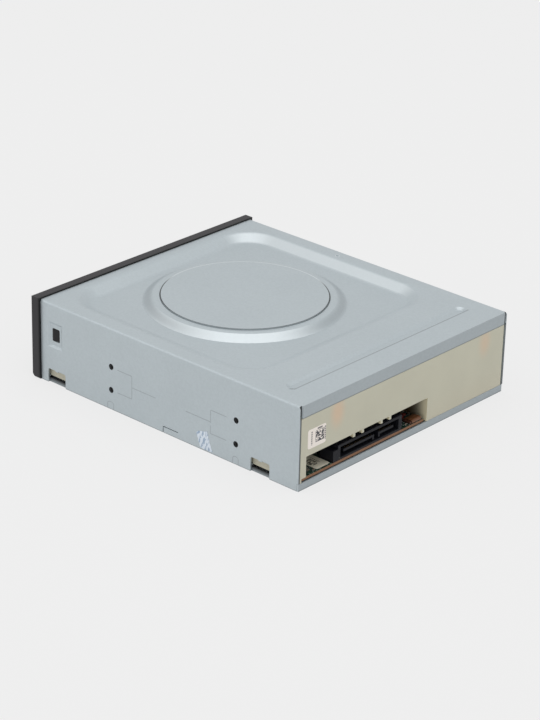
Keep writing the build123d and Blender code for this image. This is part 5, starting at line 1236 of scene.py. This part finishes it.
@dataclass(frozen=True)
class ScrewSet:
    """Like screws that one node of the frame holds.

    Attributes:
        name: The node's name.
        body: The body that the screws ride on.
        way: 1 where the heads look up, -1 where they look down.
        seat: Height that the heads sit on.
        length: Length of the shank.
        radius: Radius over the thread.
        places: Where the screws stand.
    """

    name: str
    body: Body
    way: int
    seat: float
    length: float
    radius: float
    places: tuple[Pair, ...]


@dataclass
class Screws:
    """Cross-recess screws with their threads, in place of the plain ones."""

    head: float = 2.9
    head_height: float = 1.3
    recess: float = 1.55
    recess_width: float = 0.5
    recess_depth: float = 0.75
    pitch: float = 0.6
    ridge: float = 0.28
    steps: int = 48
    sets: tuple[ScrewSet, ...] = (
        ScrewSet(
            "cover_screws", Body.CASE, -1, 1.6, 6.0, 1.3,
            ((62.0, -7.4), (-62.0, 70.6), (62.0, -55.4), (-62.0, -55.4)),
        ),
        ScrewSet(
            "damper_screws", Body.DECK, 1, 16.7, 6.2, 1.3,
            ((39.0, 57.1), (39.0, -28.9), (-39.0, 57.1), (-39.0, -28.9)),
        ),
        ScrewSet("bracket_screws", Body.CASE, 1, 34.6, 5.0, 0.9, ((-67.6, -15.7), (67.6, -15.7))),
    )

    def build(self) -> None:
        """Makes the sets of screws."""
        for like in self.sets:
            form = Form()
            for place in like.places:
                self.add_screw(form, like, place)
            name = f"{like.name}_threaded"
            form.stand(name, like.body, [SCREW, RECESS_DARK], 30.0, (like.name,))

    def add_screw(self, form: Form, like: ScrewSet, place: Pair) -> None:
        """Adds one screw.

        Args:
            form: The mesh of the set.
            like: The set's sizes.
            place: Where the screw stands.
        """
        wall = Wall((0.0, 0.0, like.seat), (1.0, 0.0, 0.0), (0.0, float(like.way), 0.0))
        centre = (place[0], place[1] * like.way)
        core = like.radius - self.ridge
        head, rim = self.head, self.head_height
        outer = circle(1.0, self.steps)
        cross = [self.cross_reach(x, y) for x, y in outer]
        profile = (
            (core, -like.length), (core, 0.0), (head - 0.05, 0.0), (head, 0.15), (head, rim * 0.45),
            (head * 0.93, rim * 0.78), (head * 0.72, rim * 0.96), (head * 0.62, rim),
        )

        def ring(reaches: list[float], out: float) -> list[Vector]:
            """Points round the screw, each with its own reach.

            Args:
                reaches: Distances from the axis.
                out: Height above the seat.

            Returns:
                The ring of points.
            """
            return [
                wall.spot(centre[0] + x * reach, centre[1] + y * reach, out)
                for (x, y), reach in zip(outer, reaches)
            ]

        def recess(scale: float, share: float) -> list[Vector]:
            """Outline of the recess at a share of its depth."""
            return ring([reach * scale for reach in cross], rim - self.recess_depth * share)

        rings = [ring([reach] * self.steps, out) for reach, out in profile]
        form.skin([*rings, recess(1.0, 0.0), recess(0.92, 0.5)])
        # The lower part of the cross recess in painted shade
        form.skin([recess(0.93, 0.48), recess(0.55, 1.0)], paint=1)
        form.thread(wall, centre, core, (-like.length, -0.3), self.pitch, self.ridge)

    def cross_reach(self, x: float, y: float) -> float:
        """How far the cross recess reaches in a direction.

        Args:
            x: The direction's first part.
            y: The direction's second part.

        Returns:
            The distance from the screw's axis.
        """
        along = max(abs(x), abs(y))
        beside = min(abs(x), abs(y))
        return min(self.recess / along, self.recess_width / max(beside, 1e-6), self.recess)


@dataclass
class RearWindow:
    """What the rear window shows: labels, small board parts, and the connector's details."""

    label: Pair = (61.6, 23.4)
    label_size: Pair = (12.0, 9.4)
    board_label: Pair = (54.5, 77.6)
    board_label_size: Pair = (9.0, 11.4)
    seed: int = 7
    part_rows: tuple[tuple[float, ...], ...] = (
        (-3.5, 0.8, 72.6, 84.0, 1.45),
        (-13.0, -10.8, 70.0, 78.4, 1.6),
        (60.4, 69.4, 79.6, 84.0, 1.5),
        (60.4, 69.4, 71.0, 78.0, 2.1),
    )
    part_step: float = 2.0
    film_centre: float = -9.4
    film_width: float = 6.6
    film_thickness: float = 0.14
    film_path: tuple[Pair, ...] = (
        (84.1, 5.75), (84.2, 6.3), (84.0, 6.75), (83.4, 6.92), (82.4, 6.9), (81.2, 6.85), (80.2, 6.8),
        (79.5, 6.6), (79.3, 6.1), (79.3, 5.75),
    )
    tail_rows: tuple[tuple[int, float], ...] = ((15, 21.6), (7, 8.55))
    tail_pitch: float = 1.27
    tail_radius: float = 0.16
    tail_path: tuple[Pair, ...] = ((73.4, 6.7), (72.4, 6.5), (71.9, 5.75), (71.0, 5.62))
    pad_along: float = 71.2
    connector_face: float = 84.5
    recess_places: tuple[Pair, ...] = ((45.3, 11.9), (45.3, 6.7), (3.1, 11.9), (3.1, 6.7))

    def build(self) -> None:
        """Makes the pieces of the rear window."""
        self.build_labels()
        self.build_small_parts()
        self.build_amber_film()
        self.build_coils()
        self.build_connector_details()

    def build_labels(self) -> None:
        """Code label on the cream wall and a paper label on the board."""
        wall_label = Form()
        across, up = self.label
        wall_label.plate(REAR_WALL, (-across, up), rounded(*self.label_size, 1.1, 5), 0.005, 0.06, 0.02)
        wall_label.stand("rear_code_label", Body.CASE, [CODE_PAPER])
        paper = Form()
        paper.plate(BOARD_TOP, self.board_label, rounded(*self.board_label_size, 0.8, 3), 0.03, 0.16, 0.04)
        paper.stand("board_paper_label", Body.CASE, [BOARD_PAPER])

    def build_small_parts(self) -> None:
        """Chip resistors and capacitors in rows on the board, with their solder."""
        chance = random.Random(self.seed)
        form = Form()
        for left, right, front, rear, step in self.part_rows:
            along = front
            while along < rear:
                across = left + chance.random() * 0.3
                while across < right:
                    if chance.random() < 0.78:
                        self.add_chip_part(form, (across, along), chance.random() < 0.6)
                    across += self.part_step
                along += step
        form.stand("small_board_parts", Body.CASE, [CERAMIC, SOLDER, CHIP], 25.0)

    @staticmethod
    def add_chip_part(form: Form, centre: Pair, tall: bool) -> None:
        """Adds one small part with bright end caps.

        Args:
            form: The mesh.
            centre: Where it lies on the board.
            tall: Whether it is a capacitor instead of a flat resistor.
        """
        height = 0.5 if tall else 0.32
        body_paint = 0 if tall else 2
        form.plate(BOARD_TOP, centre, rounded(0.9, 0.7, 0.06, 1), 0.02, height, 0.05, body_paint)
        for side in (-1, 1):
            cap = (centre[0] + side * 0.56, centre[1])
            form.plate(BOARD_TOP, cap, rounded(0.3, 0.74, 0.06, 1), 0.0, height + 0.02, 0.05, 1)

    def build_amber_film(self) -> None:
        """Amber film cable that leaves the socket at the window's corner and turns forward under the wall."""
        path = self.film_path
        rings = []
        for place, (along, up) in enumerate(path):
            before = path[max(place - 1, 0)]
            after = path[min(place + 1, len(path) - 1)]
            run = Vector((after[0] - before[0], after[1] - before[1])).normalized()
            inner = (along + run.y * self.film_thickness, up - run.x * self.film_thickness)
            half = self.film_width / 2 - 0.12 * (place == 0)
            left, right = self.film_centre - half, self.film_centre + half
            corners = ((left, along, up), (right, along, up), (right, *inner), (left, *inner))
            rings.append([Vector(corner) for corner in corners])
        film = Form()
        film.skin(rings)
        film.stand("amber_film_cable", Body.CASE, [AMBER], 50.0)

    @staticmethod
    def build_coils() -> None:
        """Two red lacquered coils on the board beside the film cable."""
        coil = Form()
        coil.plate(BOARD_TOP, (-6.6, 76.9), rounded(2.6, 2.2, 0.5, 3), 0.0, 1.3, 0.25)
        coil.plate(BOARD_TOP, (-9.9, 75.9), rounded(2.0, 1.7, 0.4, 3), 0.0, 1.1, 0.2)
        coil.stand("red_coils", Body.CASE, [RED_LACQUER], 40.0)

    def build_connector_details(self) -> None:
        """Solder tails of the rear connector, and thin dark patches of painted shade for its corner recesses.
        """
        tails = Form()
        for count, start in self.tail_rows:
            for pin in range(count):
                across = start + pin * self.tail_pitch
                tails.bar([Vector((across, *point)) for point in self.tail_path], self.tail_radius, 6)
                pad = (across, self.pad_along)
                tails.plate(BOARD_TOP, pad, rounded(0.55, 1.3, 0.15, 2), 0.0, 0.1, 0.03)
        tails.stand("connector_solder_tails", Body.CASE, [SOLDER], 40.0)
        # Thin dark patches of painted shade for the corner recesses
        recesses = Form()
        face = Wall((0.0, self.connector_face, 0.0), (-1.0, 0.0, 0.0), (0.0, 0.0, 1.0))
        for across, up in self.recess_places:
            recesses.plate(face, (-across, up), rounded(0.8, 0.8, 0.1, 1), 0.0, 0.03, 0.01)
        recesses.stand("connector_corner_recess_shade", Body.CASE, [RECESS_DARK])


@dataclass
class TornSticker:
    """Small torn paper sticker with plain streaks, low on the right side."""

    outline: tuple[Pair, ...] = (
        (23.0, 7.6), (24.3, 8.7), (26.1, 9.1), (27.9, 9.6), (29.7, 10.2), (29.9, 9.3), (30.3, 8.5),
        (30.5, 7.3), (31.1, 6.2), (31.2, 4.9), (31.9, 3.8), (32.2, 2.5), (32.9, 1.7), (33.1, 0.9),
        (31.4, 0.7), (29.8, 0.9), (28.0, 0.6), (26.2, 0.8), (25.2, 1.5), (25.0, 2.8), (24.2, 3.6),
        (24.1, 4.9), (23.4, 6.0),
    )
    thickness: float = 0.07
    curl_start: float = 8.0
    edge: float = 0.25

    def build(self) -> None:
        """Makes the sticker with a curled upper edge."""
        levels = (
            (self.outline, 0.01, 0.0),
            (self.outline, self.thickness, 0.10),
            (shrunk(list(self.outline), self.edge), self.thickness + 0.01, 0.08),
        )
        rings = [
            [RIGHT_WALL.spot(along, up, out + max(0.0, up - self.curl_start) * curl) for along, up in line]
            for line, out, curl in levels
        ]
        form = Form()
        form.skin(rings)
        form.stand("torn_side_sticker", Body.CASE, [TORN_PAPER])


@dataclass
class DeckDetails:
    """Thread of the lead screw and the details of the pickup and spindle."""

    screw_place: Pair = (31.0, 12.3)
    screw_ends: Pair = (-3.6, 58.1)
    core: float = 1.15
    collar: float = 1.39
    ridge: float = 0.25
    pitch: float = 3.0
    cover_top: float = 19.9
    rib_rows: tuple[float, ...] = (14.6, 16.4, 18.2)
    spot_places: tuple[Pair, ...] = ((-14.6, 18.4), (14.6, 18.4), (-14.6, 3.4), (14.6, 3.4))
    hub_along: float = -15.7
    hub_rim: tuple[Pair, ...] = ((2.9, 30.45), (2.9, 30.62), (2.5, 30.7))
    ball_reach: float = 7.0
    ball_profile: tuple[Pair, ...] = (
        (0.15, 27.85), (0.55, 28.05), (0.78, 28.45), (0.78, 28.75), (0.55, 29.15), (0.15, 29.35),
    )

    def build(self) -> None:
        """Makes the deck's details."""
        self.build_lead_screw()
        self.build_pickup_details()
        self.build_spindle_details()

    def build_lead_screw(self) -> None:
        """Lead screw with its coarse winding thread, in place of the plain bar."""
        across, up = self.screw_place
        wall = Wall((across, 0.0, up), (1.0, 0.0, 0.0), (0.0, 0.0, -1.0))
        axis = (0.0, 0.0)
        front, rear = self.screw_ends
        core, tip = self.core, self.core * 0.8
        form = Form()
        form.turned(wall, axis, [(tip, front), (core, front + 0.2), (core, rear - 0.2), (tip, rear)])
        form.turned(wall, axis, [(self.collar, front + 2.0), (self.collar, front + 8.0)])
        form.thread(wall, axis, core, (front + 9.0, rear - 1.5), self.pitch / 2, self.ridge, 12)
        form.stand("threaded_lead_screw", Body.LEAD, [ROD], 30.0, ("lead_screw",))

    def build_pickup_details(self) -> None:
        """Ribs and solder spots of the pickup's cover."""
        top = Wall((0.0, 0.0, self.cover_top), (1.0, 0.0, 0.0), (0.0, 1.0, 0.0))
        form = Form()
        for along in self.rib_rows:
            form.plate(top, (0.0, along), rounded(24.0, 0.7, 0.3, 3), -0.05, 0.12, 0.05)
        for place in self.spot_places:
            form.turned(top, place, [(0.9, -0.05), (0.9, 0.2), (0.6, 0.32)], 16)
        form.stand("pickup_cover_ribs", Body.PICKUP, [INNER_STEEL], 40.0)

    def build_spindle_details(self) -> None:
        """Three sprung balls that hold a disc in the turntable's hub, and its centre rim."""
        hub = Wall((0.0, self.hub_along, 0.0), (1.0, 0.0, 0.0), (0.0, 1.0, 0.0))
        form = Form()
        form.turned(hub, (0.0, 0.0), self.hub_rim, 32)
        for turn in range(3):
            angle = math.radians(120 * turn + 30)
            ball = (self.ball_reach * math.cos(angle), self.ball_reach * math.sin(angle))
            form.turned(hub, ball, self.ball_profile, 16)
        form.stand("turntable_hub_balls", Body.SPINDLE, [ROD], 50.0)


@dataclass
class TrayDetails:
    """Soft felt pads on the tray's top face."""

    top: float = 27.0
    pad_places: tuple[Pair, ...] = ((-30.0, 66.5), (30.0, 66.5), (-55.5, -70.5), (55.5, -70.5))
    pad_size: Pair = (5.0, 2.4)

    def build(self) -> None:
        """Makes the tray's details."""
        top = Wall((0.0, 0.0, self.top), (1.0, 0.0, 0.0), (0.0, 1.0, 0.0))
        form = Form()
        for place in self.pad_places:
            form.plate(top, place, rounded(*self.pad_size, 1.1, 4), -0.02, 0.22, 0.08)
        form.stand("tray_felt_pads", Body.TRAY, [RUBBER], 40.0)


@dataclass
class Studio:
    """Pale floor, soft lights and the camera at the photograph's angle, in metres and degrees."""

    azimuth: float = 131.779
    elevation: float = 24.860
    roll: float = 1.451
    distance: float = 1.196135
    focal: float = 125.459
    target: Triple = (-0.000782, 0.00059, 0.01196)
    floor_size: float = 12.0
    pale: float = 0.868
    floor_shadow: float = 0.14
    ambient: float = 0.72
    sensor: float = 36.0
    lamps: tuple[tuple[str, Triple, float, float], ...] = (
        ("overhead", (0.0, 0.1, 1.6), 1.8, 8.3),
        ("left key", (1.2, -1.3, 1.0), 1.2, 3.55),
        ("rear fill", (0.7, 1.7, 0.75), 1.2, 1.6),
    )

    def build(self) -> None:
        """Makes the whole studio."""
        self.build_floor()
        self.build_world()
        self.build_lights()
        self.build_camera()

    def build_floor(self) -> None:
        """Floor that shows the pale backdrop colour and a trace of the drive's shadow."""
        mesh = bpy.data.meshes.new("floor")
        half = self.floor_size / 2
        corners = [(-half, -half, 0), (half, -half, 0), (half, half, 0), (-half, half, 0)]
        mesh.from_pydata(corners, [], [(0, 1, 2, 3)])
        floor = bpy.data.objects.new("floor", mesh)
        bpy.context.scene.collection.objects.link(floor)
        graph = Graph("floor")
        graph.set(Base_Color=(0.8, 0.8, 0.8), Roughness=0.9)
        rays = ("Is Camera Ray", "Is Glossy Ray", "Is Transmission Ray")
        seen = sum(graph.node("ShaderNodeLightPath", {}, {}, ray) for ray in rays)
        glow = graph.node("ShaderNodeEmission", {}, {"Color": (self.pale, self.pale, self.pale, 1.0)})
        share = seen.low(1.0) * (1.0 - self.floor_shadow)
        mixed = graph.node("ShaderNodeMixShader", {}, {0: share, 2: glow})
        graph.tree.links.new(graph.shader.outputs[0], mixed.socket.node.inputs[1])
        graph.tree.links.new(mixed.socket, graph.tree.nodes["Material Output"].inputs["Surface"])
        mesh.materials.append(graph.material)

    def build_world(self) -> None:
        """Even pale surroundings."""
        world = bpy.data.worlds.new("studio")
        world.use_nodes = True
        bpy.context.scene.world = world
        back = world.node_tree.nodes["Background"]
        back.inputs["Color"].default_value = (1.0, 1.0, 1.0, 1.0)
        back.inputs["Strength"].default_value = self.ambient

    def build_lights(self) -> None:
        """Overhead soft box, a weaker one from the left and one behind."""
        for lamp in self.lamps:
            self.add_area(*lamp)

    @staticmethod
    def add_area(name: str, place: Triple, size: float, power: float) -> None:
        """Adds a square lamp that looks at the drive.

        Args:
            name: The lamp's name.
            place: Where it hangs.
            size: Its side.
            power: Its power in watts.
        """
        lamp = bpy.data.lights.new(name, "AREA")
        lamp.size = size
        lamp.energy = power
        holder = bpy.data.objects.new(name, lamp)
        holder.location = place
        holder.rotation_euler = Vector(place).to_track_quat("Z", "Y").to_euler()
        bpy.context.scene.collection.objects.link(holder)

    def build_camera(self) -> None:
        """Camera fitted to the photograph."""
        turn = math.radians(self.azimuth)
        rise = math.radians(self.elevation)
        lean = math.radians(self.roll)
        level = math.cos(rise)
        backward = Vector((math.sin(turn) * level, -math.cos(turn) * level, math.sin(rise)))
        right = Vector((math.cos(turn), math.sin(turn), 0.0))
        upward = backward.cross(right)
        right_leaned = math.cos(lean) * right + math.sin(lean) * upward
        up_leaned = -math.sin(lean) * right + math.cos(lean) * upward
        data = bpy.data.cameras.new("camera")
        data.lens = self.focal
        data.sensor_width = self.sensor
        camera = bpy.data.objects.new("camera", data)
        facing = Matrix((right_leaned, up_leaned, backward)).transposed().to_4x4()
        camera.matrix_world = Matrix.Translation(Vector(self.target) + self.distance * backward) @ facing
        bpy.context.scene.collection.objects.link(camera)
        bpy.context.scene.camera = camera
        bpy.context.scene.view_settings.view_transform = "Standard"


def main() -> None:
    """Builds the drive's looks in order."""
    logging.basicConfig(level=logging.INFO)
    dress_nodes()
    for group in (CaseMarks(), Screws(), RearWindow(), TornSticker(), DeckDetails(), TrayDetails()):
        group.build()
    Studio().build()


if __name__ == "__main__":
    main()
